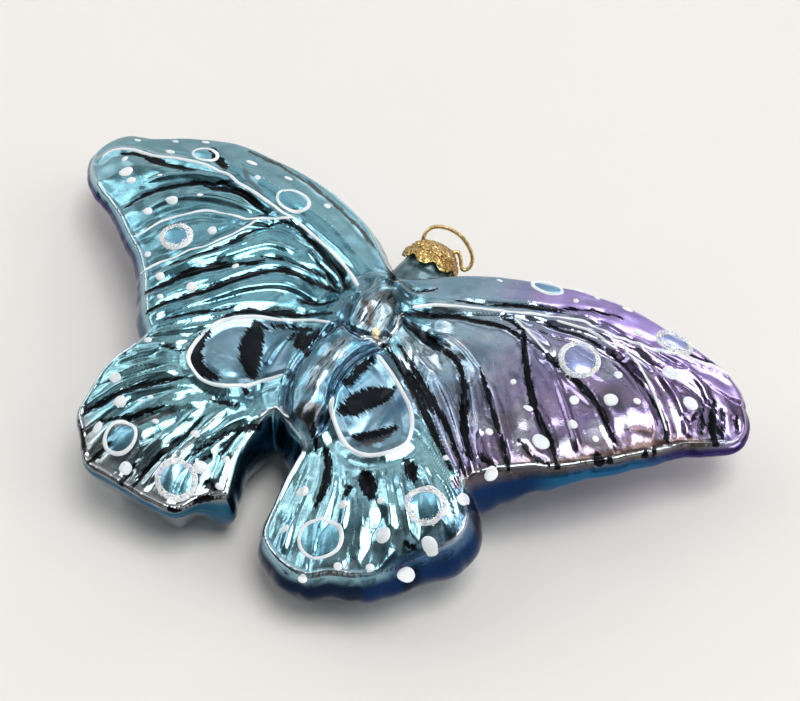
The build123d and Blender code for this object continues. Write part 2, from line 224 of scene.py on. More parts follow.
INK = [
    (1.02, [(-60.6, 23.4), (-58.5, 24.3), (-53.9, 24.2), (-50.3, 23.8), (-47.1, 23.9), (-43.9, 24.3)]),
    (1.69, [(-44.4, 30.5), (-41.8, 28.5), (-38.8, 26.8)]),
    (0.76, 'grey', [(-37.3, 29.5), (-33.6, 26.3), (-31.0, 24.9), (-28.2, 23.7), (-26.2, 22.9)]),
    (0.85, [(-36.2, 24.4), (-39.0, 23.1), (-41.5, 22.0), (-43.7, 20.5), (-45.9, 18.8), (-48.0, 17.2), (-49.9, 15.1), (-51.0, 12.0)]),
    (1.36, [(-40.1, 21.5), (-36.6, 22.6), (-33.6, 23.0), (-31.3, 22.6), (-29.2, 22.0), (-27.0, 21.1)]),
    (0.51, [(-21.8, 21.2), (-23.9, 20.0), (-25.7, 17.6), (-27.1, 15.3), (-28.4, 13.0), (-30.4, 9.8), (-32.5, 6.7), (-35.4, 3.2)]),
    (1.1, [(-21.9, 21.1), (-19.7, 20.6), (-17.1, 19.6), (-14.6, 18.7), (-11.8, 17.4), (-9.3, 16.6), (-5.7, 13.5)]),
    (1.36, [(-21.4, 11.3), (-23.2, 9.7), (-25.5, 8.4), (-27.7, 7.2), (-30.1, 4.6), (-32.5, 1.9), (-34.5, -1.2), (-36.1, -3.5)]),
    (1.27, [(-7.1, 12.7), (-10.5, 13.5), (-13.0, 12.6), (-15.6, 11.9), (-18.1, 11.3), (-20.1, 9.6), (-22.5, 6.9), (-25.3, 3.4), (-27.6, 0.7), (-29.9, -2.1), (-31.7, -4.0), (-33.3, -7.1)]),
    (0.51, [(-6.4, 13.2), (-10.3, 14.9), (-13.0, 14.4), (-15.7, 13.9), (-19.4, 13.3), (-22.3, 12.1)]),
    (0.51, [(-17.0, 18.1), (-13.5, 16.3), (-10.7, 15.4), (-6.8, 13.0)]),
    (1.19, [(-5.3, 7.1), (-9.5, 6.8), (-12.5, 5.1), (-15.0, 2.9), (-17.9, 1.2), (-19.8, -0.5), (-20.8, -2.5)]),
    (0.59, [(-19.9, 1.2), (-23.0, -1.9), (-26.4, -4.3), (-29.5, -7.3)]),
    (0.68, 'brown', [(-37.7, 32.9), (-33.2, 32.5), (-28.7, 32.1), (-25.2, 31.3), (-21.4, 30.3), (-17.8, 29.3), (-14.1, 28.2), (-10.9, 26.9), (-7.2, 24.9), (-5.4, 24.0)]),
    (0.85, [(-6.2, 10.6), (-8.4, 9.9), (-11.0, 9.2), (-12.7, 8.1)]),
    (1.02, [(-20.1, -15.4), (-22.2, -17.0), (-24.8, -19.1), (-27.5, -21.1), (-29.6, -23.5), (-31.4, -25.8), (-32.9, -28.2)]),
    (0.85, [(-29.1, -27.9), (-27.0, -26.5), (-24.7, -25.4), (-22.9, -23.6), (-20.3, -21.6)]),
    (1.02, 'brown', [(-26.5, -28.2), (-24.9, -26.7), (-22.8, -25.3), (-20.4, -23.0), (-18.3, -20.7)]),
    (0.85, [(-25.2, -30.1), (-25.9, -31.8), (-26.4, -33.3), (-26.9, -35.2)]),
    (1.02, [(-13.9, -19.8), (-14.7, -22.9), (-15.7, -25.9), (-16.8, -28.7), (-17.6, -31.5), (-18.0, -35.2)]),
    (0.68, 'brown', [(-12.2, -19.0), (-12.8, -21.3), (-13.2, -23.6), (-14.1, -26.3), (-14.7, -29.0)]),
    (1.02, [(-4.4, -15.1), (-5.9, -16.9), (-7.5, -18.9), (-8.1, -21.2), (-8.4, -23.8)]),
    (0.51, [(-7.9, -18.2), (-9.3, -20.7), (-10.9, -23.4), (-12.5, -26.4)]),
    (0.85, [(-11.0, -26.9), (-10.2, -25.7), (-9.3, -24.7)]),
    (1.19, [(-11.1, -35.2), (-9.2, -35.2), (-8.0, -33.5), (-6.9, -30.9), (-5.2, -30.3), (-3.7, -29.3)]),
    (1.36, [(-8.1, -28.5), (-6.5, -29.0)]),
    (0.68, [(-33.1, -29.1), (-31.4, -30.5), (-29.9, -32.0), (-28.4, -33.7)]),
    (0.85, [(-19.9, -35.8), (-20.0, -33.4), (-19.9, -31.7)]),
    (0.51, [(-27.2, -12.3), (-23.0, -11.2)]),
    (0.68, [(-14.6, -16.7), (-12.1, -16.1), (-9.7, -15.3)]),
    (2.3, [(-21.6, -6.2), (-21.9, -8.8), (-21.4, -10.8), (-20.1, -12.2), (-18.0, -13.2), (-15.5, -13.1)]),
    (3.7, [(-15.6, -0.6), (-14.7, -3.1), (-13.9, -5.3), (-12.8, -7.1), (-11.4, -8.9)]),
    (1.36, [(-11.0, -12.3), (-9.8, -12.1)]),
    (2.2, [(-5.5, 2.9), (-6.1, 1.2), (-6.4, -0.7)]),
    (0.68, [(-14.6, -0.4), (-12.6, 2.1), (-9.4, 3.2), (-5.4, 2.7)]),
    (1.19, [(5.1, 12.8), (7.1, 15.4), (10.1, 16.9), (13.6, 17.7), (16.9, 18.5), (20.5, 18.9), (23.3, 18.7), (25.5, 17.7)]),
    (0.68, [(19.4, 21.0), (21.8, 20.8), (24.3, 19.7)]),
    (1.19, [(24.6, 19.6), (25.9, 17.2), (28.1, 13.7), (30.9, 9.5), (33.6, 6.5), (36.6, 3.8), (39.2, 1.5), (41.1, -0.6)]),
    (0.85, [(26.8, 23.2), (29.6, 23.2), (32.2, 23.5), (34.9, 23.9), (37.7, 23.5)]),
    (1.19, [(33.7, 16.1), (36.4, 15.2), (39.3, 14.2), (41.8, 12.8), (44.1, 11.0), (46.9, 8.4)]),
    (0.85, [(45.5, 21.2), (47.6, 19.8), (49.8, 18.4), (52.1, 16.6), (54.3, 13.7)]),
    (0.68, [(39.2, 23.5), (42.1, 22.4), (44.5, 21.4), (46.3, 20.3)]),
    (0.68, [(29.9, 17.1), (31.9, 16.7), (33.5, 16.2)]),
    (1.53, [(45.5, 4.8), (46.6, 3.7), (47.6, 2.7)]),
    (1.19, [(47.5, 5.5), (48.6, 4.4)]),
    (1.36, [(51.8, 9.8), (52.7, 8.7)]),
    (0.85, [(52.6, 11.3), (53.6, 9.8)]),
    (0.5, [(56.1, 24.7), (57.0, 21.4), (58.5, 17.8)]),
    (1.36, [(57.4, 25.2), (58.9, 21.7), (61.1, 18.2)]),
    (0.4, [(58.9, 25.4), (60.5, 22.0), (61.9, 19.4)]),
    (0.4, [(61.7, 25.1), (63.2, 22.7)]),
    (0.5, [(54.2, 19.5), (55.6, 19.2), (56.0, 21.3)]),
    (1.19, 'brown', [(41.0, 0.4), (44.8, 3.6), (48.4, 7.4), (52.0, 11.3), (55.8, 15.0), (59.3, 17.4), (62.1, 19.4)]),
    (1.02, 'brown', [(47.4, 11.4), (49.4, 13.0), (51.7, 13.8)]),
    (1.02, [(5.4, 12.2), (7.9, 12.2), (11.1, 11.7), (14.9, 10.0), (18.0, 8.7), (20.2, 6.3), (22.6, 2.5), (25.4, -2.8), (27.7, -6.4)]),
    (1.02, [(7.4, 7.6), (10.2, 6.4), (14.3, 3.1), (18.7, -0.6), (22.8, -3.7), (26.7, -7.6), (29.0, -9.8)]),
    (1.19, [(6.0, 6.3), (9.2, 4.7), (13.3, 1.5), (18.0, -2.6), (22.5, -6.6), (26.8, -10.3)]),
    (0.51, [(6.9, 13.0), (9.3, 13.2), (13.2, 11.2), (15.9, 10.4)]),
    (0.68, [(21.7, 9.5), (24.7, 5.9), (27.7, 2.6), (31.0, -0.9), (34.7, -5.3)]),
    (1.36, [(21.8, 3.3), (24.3, -1.1), (26.5, -4.4), (28.8, -7.1)]),
    (0.85, [(29.2, -5.5), (31.8, -6.2), (33.8, -6.7)]),
    (0.51, [(11.0, 20.7), (18.2, 23.4), (24.5, 25.9), (29.1, 28.0), (33.8, 29.9), (37.7, 30.5)]),
    (0.59, [(46.6, 28.8), (48.8, 29.9), (52.1, 30.9), (54.2, 31.2)]),
    (0.68, [(34.0, -0.0), (37.3, -1.3), (40.0, -1.1)]),
    (1.36, [(6.5, -15.3), (8.2, -17.2), (9.4, -19.6), (10.1, -22.1), (10.4, -24.9)]),
    (2.71, [(14.8, -17.1), (16.4, -18.5), (17.8, -20.1)]),
    (2.03, [(19.9, -12.2), (21.4, -13.4), (22.6, -14.6)]),
    (0.68, [(2.8, -13.1), (4.2, -14.6), (5.6, -16.4)]),
    (0.85, [(14.0, -21.8), (13.9, -20.0)]),
    (0.68, 'brown', [(12.5, -36.4), (15.0, -36.0), (16.9, -34.5), (20.4, -32.8), (23.5, -32.0), (25.8, -29.6), (27.2, -27.3), (28.7, -25.3)]),
    (1.19, [(15.1, -36.7), (16.2, -37.6)]),
    (1.53, [(17.2, -36.1), (18.4, -37.1)]),
    (1.02, [(20.9, -33.7), (22.4, -34.7)]),
    (1.36, [(30.1, -25.0), (31.9, -23.6), (33.1, -22.3)]),
    (1.19, [(33.6, -20.4), (35.1, -21.4)]),
    (0.85, [(28.0, -24.1), (26.3, -24.2)]),
    (1.36, [(5.3, 2.6), (4.7, -0.1), (4.4, -2.8), (4.0, -4.8)]),
    (2.88, [(5.9, -8.8), (6.6, -6.7), (8.0, -4.0), (9.3, -1.6), (10.3, -0.4)]),
    (2.03, [(9.6, -11.0), (12.5, -9.5), (15.2, -7.7)]),
    (1.19, 'grey', [(19.8, -31.8), (21.1, -30.1)]),
    (0.68, [(-9.8, 2.7), (-9.6, 0.3)]),
]
RIDGE = [
    (0.85, [(-10.2, 1.4), (-10.7, -1.2), (-10.8, -3.6), (-10.6, -6.1)]),
    (1.02, [(2.1, 4.5), (4.0, 5.4), (4.7, 6.6), (5.0, 8.8), (5.2, 10.9), (4.9, 12.0), (5.8, 14.2)]),
    (1.02, [(27.2, 14.4), (29.4, 11.0), (32.1, 7.5), (34.7, 4.9)]),
    (1.36, [(2.3, -16.2), (3.3, -21.0), (3.2, -26.6)]),
    (1.02, [(-23.0, -10.1), (-26.7, -13.1), (-29.4, -15.1), (-33.2, -18.6)]),
    (1.02, [(-21.6, -14.9), (-24.3, -16.9), (-26.9, -18.9), (-29.3, -21.4), (-31.5, -24.3), (-33.1, -26.7)]),
    (1.02, [(-14.8, -17.9), (-15.9, -20.8), (-16.9, -23.9), (-18.1, -26.7), (-19.1, -29.6), (-19.7, -33.2)]),
    (1.02, [(-11.6, -16.9), (-13.0, -20.8), (-14.1, -23.7), (-15.0, -27.0), (-15.8, -30.3), (-16.7, -34.8)]),
    (1.02, [(-15.2, -17.3), (-19.0, -20.5), (-22.3, -23.1), (-25.2, -26.2)]),
    (1.02, [(-6.9, -15.1), (-9.0, -18.0), (-10.8, -21.3), (-12.4, -25.0)]),
    (1.02, [(-5.2, -13.1), (-6.7, -16.5), (-7.2, -20.1), (-7.1, -24.4)]),
    (1.02, [(6.3, 13.3), (12.4, 12.8), (19.6, 9.8), (25.7, 6.1), (30.7, 0.3), (35.0, -4.9)]),
    (1.02, [(7.2, 10.1), (12.8, 6.7), (18.9, 2.4), (23.1, -1.8), (28.7, -8.0)]),
    (1.02, [(21.4, 6.5), (25.0, 1.5), (28.4, -3.3)]),
    (1.02, [(29.6, 17.6), (34.4, 12.8), (39.2, 7.7), (43.7, 2.9)]),
    (1.02, [(35.0, 16.2), (40.3, 13.5), (44.3, 10.0), (49.2, 6.6)]),
    (1.02, [(37.3, 22.8), (43.4, 20.9), (48.7, 17.6), (53.1, 12.8)]),
    (1.02, [(45.4, 25.3), (50.8, 22.6), (55.0, 18.7), (57.2, 15.8)]),
    (1.02, [(49.6, 28.3), (54.0, 26.8), (57.5, 24.1)]),
    (1.02, [(6.3, -19.8), (7.5, -24.9), (8.3, -30.1), (9.4, -34.4)]),
    (1.02, [(10.2, -18.3), (12.0, -23.1), (12.8, -28.3)]),
    (1.02, [(11.7, -17.7), (14.4, -22.1), (16.5, -27.6)]),
    (1.02, [(18.0, -16.0), (20.6, -19.5), (24.0, -24.2)]),
    (1.02, [(19.5, -14.3), (22.9, -18.4), (27.2, -23.6)]),
    (1.02, [(21.8, -11.2), (26.1, -15.0), (31.1, -19.9)]),
    (1.02, [(-23.8, 15.6), (-26.9, 12.3), (-30.2, 7.9), (-33.6, 3.6), (-37.0, -0.7)]),
    (1.02, [(-16.9, 15.9), (-22.4, 14.9), (-25.6, 11.9), (-29.0, 7.5)]),
    (1.02, [(-7.9, 10.7), (-13.2, 9.6), (-18.5, 7.0), (-22.2, 3.3), (-26.2, -1.5), (-30.6, -7.1)]),
    (1.02, [(-27.5, 19.8), (-31.7, 19.9), (-36.6, 19.4), (-40.8, 17.7), (-45.1, 14.5), (-47.4, 11.5)]),
    (1.02, [(-34.4, 24.2), (-39.5, 24.0), (-44.2, 22.8), (-48.0, 20.5), (-51.7, 17.8)]),
    (1.02, [(-21.7, -3.8), (-24.7, -7.0), (-28.1, -9.4), (-30.0, -11.1)]),
]
GUIDES_FL = [
    (0, [(-5.7, 25.9), (-15.2, 30.1), (-24.4, 31.8), (-33.5, 33.0), (-41.2, 33.3), (-51.6, 30.7), (-61.4, 28.4), (-65.4, 22.5)]),
    (1, [(-4.5, 14.5), (-13.1, 19.6), (-22.1, 22.1), (-30.4, 23.9), (-39.5, 25.6), (-49.3, 25.6), (-58.6, 25.1), (-63.5, 21.6)]),
    (2, [(-6.4, 14.4), (-14.8, 19.0), (-23.7, 20.4), (-28.1, 21.6), (-33.6, 23.0), (-41.5, 22.0), (-48.0, 17.2), (-53.2, 11.0)]),
    (3, [(-6.7, 13.8), (-16.2, 18.1), (-22.7, 20.4), (-28.5, 18.2), (-36.6, 16.2), (-42.7, 11.0), (-45.7, 5.3)]),
    (4, [(-6.6, 13.3), (-18.6, 18.7), (-25.9, 18.0), (-30.7, 11.8), (-35.6, 5.1), (-40.0, -0.3)]),
    (5, [(-6.4, 12.7), (-15.7, 13.9), (-22.3, 12.1), (-27.7, 7.2), (-32.5, 1.9), (-36.4, -3.6)]),
    (6, [(-6.4, 11.9), (-13.0, 12.6), (-18.9, 10.8), (-25.3, 3.4), (-31.7, -4.0), (-33.5, -7.4)]),
    (7, [(-5.9, 10.1), (-12.8, 9.0), (-18.6, 5.5), (-23.5, 0.5), (-30.0, -6.6), (-31.3, -9.2)]),
    (8, [(-5.6, 7.6), (-15.1, 3.0), (-19.7, -0.7), (-23.9, -5.1), (-28.3, -9.1), (-30.4, -10.6)]),
]
GUIDES_HL = [
    (0, [(-5.0, 6.6), (-19.5, -1.0), (-22.3, -6.1), (-25.4, -8.9), (-30.4, -11.9)]),
    (1, [(-23.0, -10.1), (-26.7, -13.1), (-29.4, -15.1), (-33.4, -18.9)]),
    (2, [(-21.6, -13.0), (-25.1, -15.6), (-28.8, -19.0), (-33.3, -23.0)]),
    (3, [(-20.0, -14.3), (-24.2, -17.0), (-29.1, -21.7), (-33.4, -28.0)]),
    (4, [(-17.6, -15.7), (-21.2, -18.5), (-26.1, -23.2), (-31.0, -30.9)]),
    (5, [(-15.5, -16.8), (-19.6, -21.2), (-24.2, -26.3), (-27.9, -34.5)]),
    (6, [(-14.6, -17.4), (-16.9, -23.9), (-19.1, -29.6), (-21.2, -36.1)]),
    (7, [(-11.7, -16.7), (-14.1, -23.7), (-15.8, -30.3), (-16.8, -36.1)]),
    (8, [(-9.4, -15.7), (-11.6, -23.1), (-12.6, -29.3), (-11.2, -36.0)]),
    (9, [(-6.3, -14.0), (-8.1, -21.2), (-8.3, -26.9), (-7.2, -31.8)]),
    (10, [(-3.9, -12.0), (-6.1, -18.1), (-5.1, -24.2), (-3.3, -29.2)]),
]
GUIDES_FR = [
    (0, [(2.2, 21.4), (9.1, 26.1), (18.8, 29.6), (33.0, 31.6), (46.4, 31.1), (56.4, 30.5)]),
    (1, [(5.3, 14.5), (14.0, 20.3), (26.9, 24.8), (35.5, 26.5), (46.6, 28.6), (57.9, 30.7)]),
    (2, [(5.5, 14.0), (19.5, 20.8), (29.3, 23.7), (39.2, 25.3), (45.4, 25.3), (55.1, 24.5), (63.4, 20.6)]),
    (3, [(5.7, 13.7), (19.9, 20.0), (28.0, 20.8), (37.3, 22.8), (45.2, 21.9), (52.2, 16.7), (55.3, 12.8)]),
    (4, [(5.7, 13.1), (18.6, 18.9), (26.8, 17.7), (35.3, 15.4), (42.3, 12.5), (49.0, 5.4)]),
    (5, [(5.6, 12.8), (17.1, 18.1), (25.1, 18.0), (28.5, 12.8), (33.6, 6.5), (41.5, -1.2)]),
    (6, [(5.7, 12.3), (13.8, 13.6), (21.5, 9.8), (27.7, 2.6), (35.1, -5.7)]),
    (7, [(5.6, 11.7), (11.1, 11.7), (18.5, 8.5), (23.7, 0.8), (31.4, -8.8)]),
    (8, [(6.2, 10.1), (11.8, 7.6), (18.2, 2.1), (24.0, -3.5), (30.0, -10.2)]),
    (9, [(6.7, 7.8), (11.5, 4.7), (18.3, -1.5), (24.9, -7.5), (29.6, -11.6)]),
    (10, [(6.3, 6.4), (11.7, 3.0), (18.4, -3.8), (24.2, -9.0), (29.2, -12.3)]),
]
GUIDES_HR = [
    (0, [(3.0, -16.7), (3.3, -22.3), (4.2, -29.8), (4.9, -32.5)]),
    (1, [(4.1, -15.4), (5.1, -20.3), (6.1, -26.4), (7.5, -34.3)]),
    (2, [(5.6, -14.6), (7.7, -20.2), (9.0, -26.2), (12.0, -36.2)]),
    (3, [(8.0, -15.0), (10.0, -20.3), (11.9, -26.8), (15.2, -36.1)]),
    (4, [(11.0, -15.7), (13.2, -20.8), (15.8, -27.0), (18.8, -34.1)]),
    (5, [(13.8, -15.3), (15.9, -19.7), (19.0, -25.6), (22.4, -32.6)]),
    (6, [(16.3, -14.4), (18.9, -18.4), (22.6, -24.0), (25.7, -29.9)]),
    (7, [(18.0, -13.0), (21.8, -17.1), (25.7, -21.6), (28.7, -25.7)]),
    (8, [(19.1, -10.9), (23.8, -14.2), (28.6, -18.4), (32.3, -22.1)]),
    (9, [(19.4, -8.2), (25.5, -11.4), (30.5, -14.7), (33.9, -18.8)]),
    (10, [(18.5, -5.3), (24.9, -8.6), (29.5, -11.3), (32.7, -14.4)]),
]
DOTS = [
    (-59.5, 28.0, 0.85, 0.42),
    (-52.4, 30.2, 0.85, 0.42),
    (-46.8, 31.9, 1.02, 0.42),
    (-51.6, 27.3, 1.19, 0.51),
    (-58.5, 22.6, 0.68, 0.85),
    (-56.1, 19.6, 1.53, 1.44),
    (-53.8, 17.9, 1.02, 0.85),
    (-49.1, 20.4, 0.59, 0.51),
    (-43.4, 15.8, 1.36, 1.02),
    (-46.2, 12.2, 1.02, 0.85),
    (-39.4, 18.9, 0.68, 0.68),
    (-33.0, 12.9, 0.93, 0.93),
    (-40.6, 3.8, 0.68, 0.68),
    (-25.2, 8.1, 0.68, 0.85),
    (-30.9, 5.5, 0.76, 0.42),
    (-35.6, 0.3, 1.02, 0.85),
    (-29.4, 0.7, 1.02, 1.1),
    (-33.0, -3.5, 0.68, 0.59),
    (-35.8, 30.4, 1.36, 0.51),
    (-32.7, 27.3, 0.76, 0.68),
    (-27.9, 30.1, 1.02, 0.47),
    (-18.7, 28.1, 0.76, 0.59),
    (-29.8, -12.1, 0.85, 0.68),
    (-31.0, -20.4, 1.27, 0.93),
    (-27.8, -23.8, 1.27, 1.19),
    (-28.9, -29.1, 0.85, 1.27),
    (-24.8, -22.2, 0.68, 0.42),
    (-23.6, -21.0, 0.68, 0.51),
    (-20.9, -32.9, 1.19, 1.19),
    (-20.4, -24.3, 0.76, 0.51),
    (-13.6, -23.0, 1.02, 0.68),
    (-10.1, -27.2, 1.36, 1.27),
    (-7.0, -24.1, 0.68, 0.68),
    (-5.8, -28.3, 0.85, 0.59),
    (15.5, 28.5, 0.68, 0.31),
    (28.6, 32.2, 1.19, 0.37),
    (29.3, 29.9, 0.59, 0.54),
    (32.1, 32.3, 0.68, 0.31),
    (37.6, 32.7, 1.19, 0.44),
    (41.1, 29.6, 1.02, 0.64),
    (55.9, 30.9, 1.02, 0.47),
    (49.0, 25.5, 1.53, 1.27),
    (54.4, 22.2, 1.53, 1.36),
    (42.0, 20.0, 0.85, 0.85),
    (43.1, 14.9, 1.36, 1.36),
    (46.9, 17.0, 0.76, 0.68),
    (38.1, 11.4, 0.93, 1.1),
    (40.0, 7.1, 0.93, 0.93),
    (36.9, 1.8, 1.69, 1.53),
    (32.4, 6.0, 1.02, 0.59),
    (27.9, 9.4, 0.59, 0.68),
    (29.0, -1.2, 0.76, 0.76),
    (44.2, 7.0, 0.68, 0.68),
    (32.7, -7.4, 1.1, 1.44),
    (30.8, -13.4, 1.1, 1.36),
    (25.2, -8.8, 0.68, 0.59),
    (7.0, -23.3, 1.19, 1.1),
    (14.4, -23.1, 0.85, 0.85),
    (19.6, -20.1, 0.68, 0.68),
    (7.6, -29.9, 0.76, 0.85),
    (14.5, -36.0, 0.85, 0.76),
    (18.7, -32.1, 0.85, 0.76),
    (23.3, -30.0, 0.85, 0.76),
    (22.7, -24.8, 1.36, 1.44),
    (29.8, -22.5, 1.61, 1.19),
    (28.5, -27.8, 1.53, 1.53),
]
RINGS = [
    (-24.3, 25.8, 3.05, 2.2, 0),
    (-44.8, 28.7, 2.54, 1.53, 0),
    (-38.1, 9.1, 2.54, 2.37, 1),
    (-24.3, -29.1, 2.63, 2.71, 0),
    (-12.4, -30.8, 3.05, 2.88, 1),
    (23.6, 30.4, 2.71, 1.27, 0),
    (47.3, 31.2, 2.88, 1.61, 1),
    (35.3, 19.2, 3.05, 3.22, 1),
    (26.4, -17.7, 3.05, 2.63, 1),
    (13.8, -29.3, 3.39, 3.14, 0),
]

# ---- body, creases and clouded patches -------------------------------------
BODY_LEFT = [(-4.0, 12.9), (-3.1, 9.5), (-2.6, 6.2), (-3.4, 3.3), (-4.8, -0.3), (-5.3, -4.3), (-4.6, -8.6), (-2.9, -12.3), (-0.2, -15.1), (1.5, -16.0)]
BODY_RIGHT = [(4.0, 15.3), (4.8, 12.9), (5.0, 10.7), (5.0, 8.1), (4.8, 5.0), (3.5, 2.0), (2.6, -2.1), (2.8, -6.0), (3.7, -8.9), (4.1, -12.0), (4.0, -15.2)]
WAIST_LINE = [(-2.3, 5.8), (0.3, 4.3), (2.6, 4.8), (4.5, 6.3), (5.2, 8.5)]
NECK_CREASE = [(-5.9, 25.5), (-4.0, 24.3), (-2.4, 22.5), (0.7, 17.0), (1.0, 15.1)]
FUR_THORAX = [(0.0, 12.8), (1.8, 15.2), (3.7, 13.9), (4.7, 10.3), (4.7, 6.8), (2.4, 5.3), (-0.2, 5.7), (-1.0, 9.1), (-0.5, 11.0)]
FUR_ABDOMEN = [(1.0, 3.1), (-0.9, 1.6), (-1.8, -1.4), (-1.8, -5.3), (-0.8, -8.8), (1.0, -9.3), (1.2, -6.5), (1.1, -3.0), (1.4, 0.4)]
BROWN_PATCH = [(-0.7, -13.4), (-0.2, -11.8), (0.9, -10.4), (3.4, -9.8), (4.1, -12.0), (3.6, -14.5), (1.2, -14.1)]
END_FACET = [(-0.6, -14.2), (1.3, -14.3), (3.1, -14.9), (2.7, -16.3), (-0.1, -16.6)]
MORE = [
    (2.7, 'ink', [(6.1, -8.8), (7.1, -6.7), (8.4, -4.0), (10.3, -1.3)]),
    (1.9, 'brown', [(9.9, -11.2), (12.4, -11.6), (14.1, -10.0), (15.1, -7.8)]),
    (1.3, 'ink', [(4.2, -4.8), (4.5, -2.7), (4.8, -0.2), (5.4, 2.7)]),
    (0.8, 'ink', [(-5.5, 25.3), (-3.6, 24.0), (-2.0, 22.2), (1.0, 16.8)]),
    (0.5, 'ink', [(3.2, 18.6), (4.4, 19.7), (5.6, 21.0), (6.8, 22.0)]),
    (1.0, 'ink', [(6.0, 11.9), (8.4, 11.7), (10.9, 11.4), (14.0, 9.7)]),
    (1.3, 'ink', [(5.5, 5.9), (7.7, 5.3), (10.0, 4.7), (12.8, 3.1), (16.7, 0.0), (19.3, -2.0)]),
    (1.0, 'ink', [(5.6, 11.9), (8.3, 12.6), (11.7, 12.0)]),
    (1.1, 'brown', [(-1.2, 10.1), (1.4, 9.0), (2.0, 6.6)]),
    (1.8, 'ink', [(-8.2, 3.3), (-8.0, 1.0), (-5.3, -1.5)]),
]
# raised folds on the body; the colour pass lays a painted highlight along them
FOLD_WITH_HIGHLIGHT = [(5.1, 12.8), (5.2, 11.4), (5.6, 10.0), (5.4, 8.0), (5.1, 6.2), (6.2, 6.0)]
WAIST = [(2.1, 4.5), (3.3, 5.0), (4.5, 5.6), (5.2, 6.4)]

SMOKE = [
    (30.6, 1.3, 3.6, 0.75),
    (43.3, 15.0, 3.2, 0.70),
    (39.5, 3.4, 3.0, 0.60),
    (20.7, 2.6, 2.6, 0.60),
    (51.8, 11.8, 2.8, 0.60),
    (58.6, 16.9, 2.4, 0.60),
    (18.4, 12.1, 2.2, 0.45),
    (31.7, 26.6, 2.0, 0.35),
    (36.6, -5.0, 2.5, 0.60),
]

# ---- look of the light ----------------------------------------------------
WORLD = 0.73
LAMPS = [
    ((0.25, -0.85, 0.42), 48, 20, 0.42),
    ((0.90, -0.20, 0.20), 24, 12, 0.60),
    ((0.25, 0.10, 0.95), 21, 15, 7.4),
    ((0.80, 0.35, 0.45), 24, 15, 4.0),
    ((-0.80, 0.05, 0.55), 26, 15, 3.0),
    ((-0.10, 0.95, 0.30), 16, 8, 3.2),
]
AREAS = [
    ("ceiling_panel", (0.45, 0.30, 0.85), (0, 0, 0), (0.60, 0.50), 0.8, (1.0, 0.98, 0.95)),
]


# ---- small maths ----------------------------------------------------------
def smooth(t):
    t = np.clip(t, 0.0, 1.0)
    return t * t * (3.0 - 2.0 * t)


def table(u, rows):
    xs = np.array([r[0] for r in rows])
    vs = np.array([r[1] for r in rows])
    i = np.clip(np.searchsorted(xs, u, side="right") - 1, 0, len(xs) - 2)
    return vs[i] + (vs[i + 1] - vs[i]) * smooth((u - xs[i]) / (xs[i + 1] - xs[i]))


def lattice(x, y, seed):
    """Smooth value noise between 0 and 1, one cell per unit."""
    xi, yi = np.floor(x).astype(np.int64), np.floor(y).astype(np.int64)
    u, v = smooth(x - xi), smooth(y - yi)

    def h(i, j):
        n = (i * 374761393 + j * 668265263 + seed * 69069) & 0xFFFFFFFF
        n = ((n ^ (n >> 13)) * 1274126177) & 0xFFFFFFFF
        return ((n ^ (n >> 16)) & 0xFFFF) / 65535.0

    a = h(xi, yi) * (1 - u) + h(xi + 1, yi) * u
    b = h(xi, yi + 1) * (1 - u) + h(xi + 1, yi + 1) * u
    return a * (1 - v) + b * v


def curve(points, step):
    """Points about one step apart on a smooth curve through the given ones."""
    p = np.array(points, float)
    if len(p) < 3:
        n = max(2, int(np.hypot(*(p[-1] - p[0])) / step) + 1)
        return p[0] + (p[-1] - p[0]) * np.linspace(0, 1, n)[:, None]
    chord = np.r_[0, np.cumsum(np.hypot(*np.diff(p, axis=0).T))]
    tan = np.gradient(p, chord, axis=0)
    out = []
    for i in range(len(p) - 1):
        L = chord[i + 1] - chord[i]
        n = max(1, int(round(L / step)))
        t = (np.arange(n) / n)[:, None]
        a, b, ta, tb = p[i], p[i + 1], tan[i] * L, tan[i + 1] * L
        out.append((2 * t**3 - 3 * t**2 + 1) * a + (t**3 - 2 * t**2 + t) * ta + (3 * t**2 - 2 * t**3) * b + (t**3 - t**2) * tb)
    out.append(p[-1:])
    return np.vstack(out)


def line_distance(P, line, reach=None):
    """Distance of the points P from a polyline and the share of its length at the nearest point."""
    n = len(P)
    best, where = np.full(n, 99.0), np.zeros(n)
    if reach is None:
        sel = np.arange(n)
    else:
        lo, hi = line.min(0) - reach, line.max(0) + reach
        sel = np.nonzero((P[:, 0] > lo[0]) & (P[:, 0] < hi[0]) & (P[:, 1] > lo[1]) & (P[:, 1] < hi[1]))[0]
    if len(sel) == 0:
        return best, where
    Q = P[sel]
    run = np.r_[0, np.cumsum(np.hypot(*np.diff(line, axis=0).T))]
    b, w = np.full(len(Q), 99.0), np.zeros(len(Q))
    for k in range(len(line) - 1):
        a, e = line[k], line[k + 1] - line[k]
        L2 = max(1e-12, e @ e)
        t = np.clip(((Q - a) @ e) / L2, 0, 1)
        d = np.hypot(Q[:, 0] - a[0] - t * e[0], Q[:, 1] - a[1] - t * e[1])
        m = d < b
        b[m] = d[m]
        w[m] = (run[k] + t[m] * math.sqrt(L2)) / run[-1]
    best[sel], where[sel] = b, w
    return best, where


def in_polygon(P, poly):
    x, y = P[:, 0], P[:, 1]
    hit = np.zeros(len(P), bool)
    for i in range(len(poly)):
        (ax, ay), (bx, by) = poly[i], poly[(i + 1) % len(poly)]
        if ay == by:
            continue
        hit ^= ((ay > y) != (by > y)) & (x < (bx - ax) * (y - ay) / (by - ay) + ax)
    return hit


def polygon_share(P, poly, w):
    """One well inside the polygon, nought outside, softened over w."""
    c = np.array(list(poly) + [poly[0]], float)
    d, _ = line_distance(P, c, w + 2.0)
    return smooth(0.5 + np.where(in_polygon(P, c[:-1]), d, -d) / w)


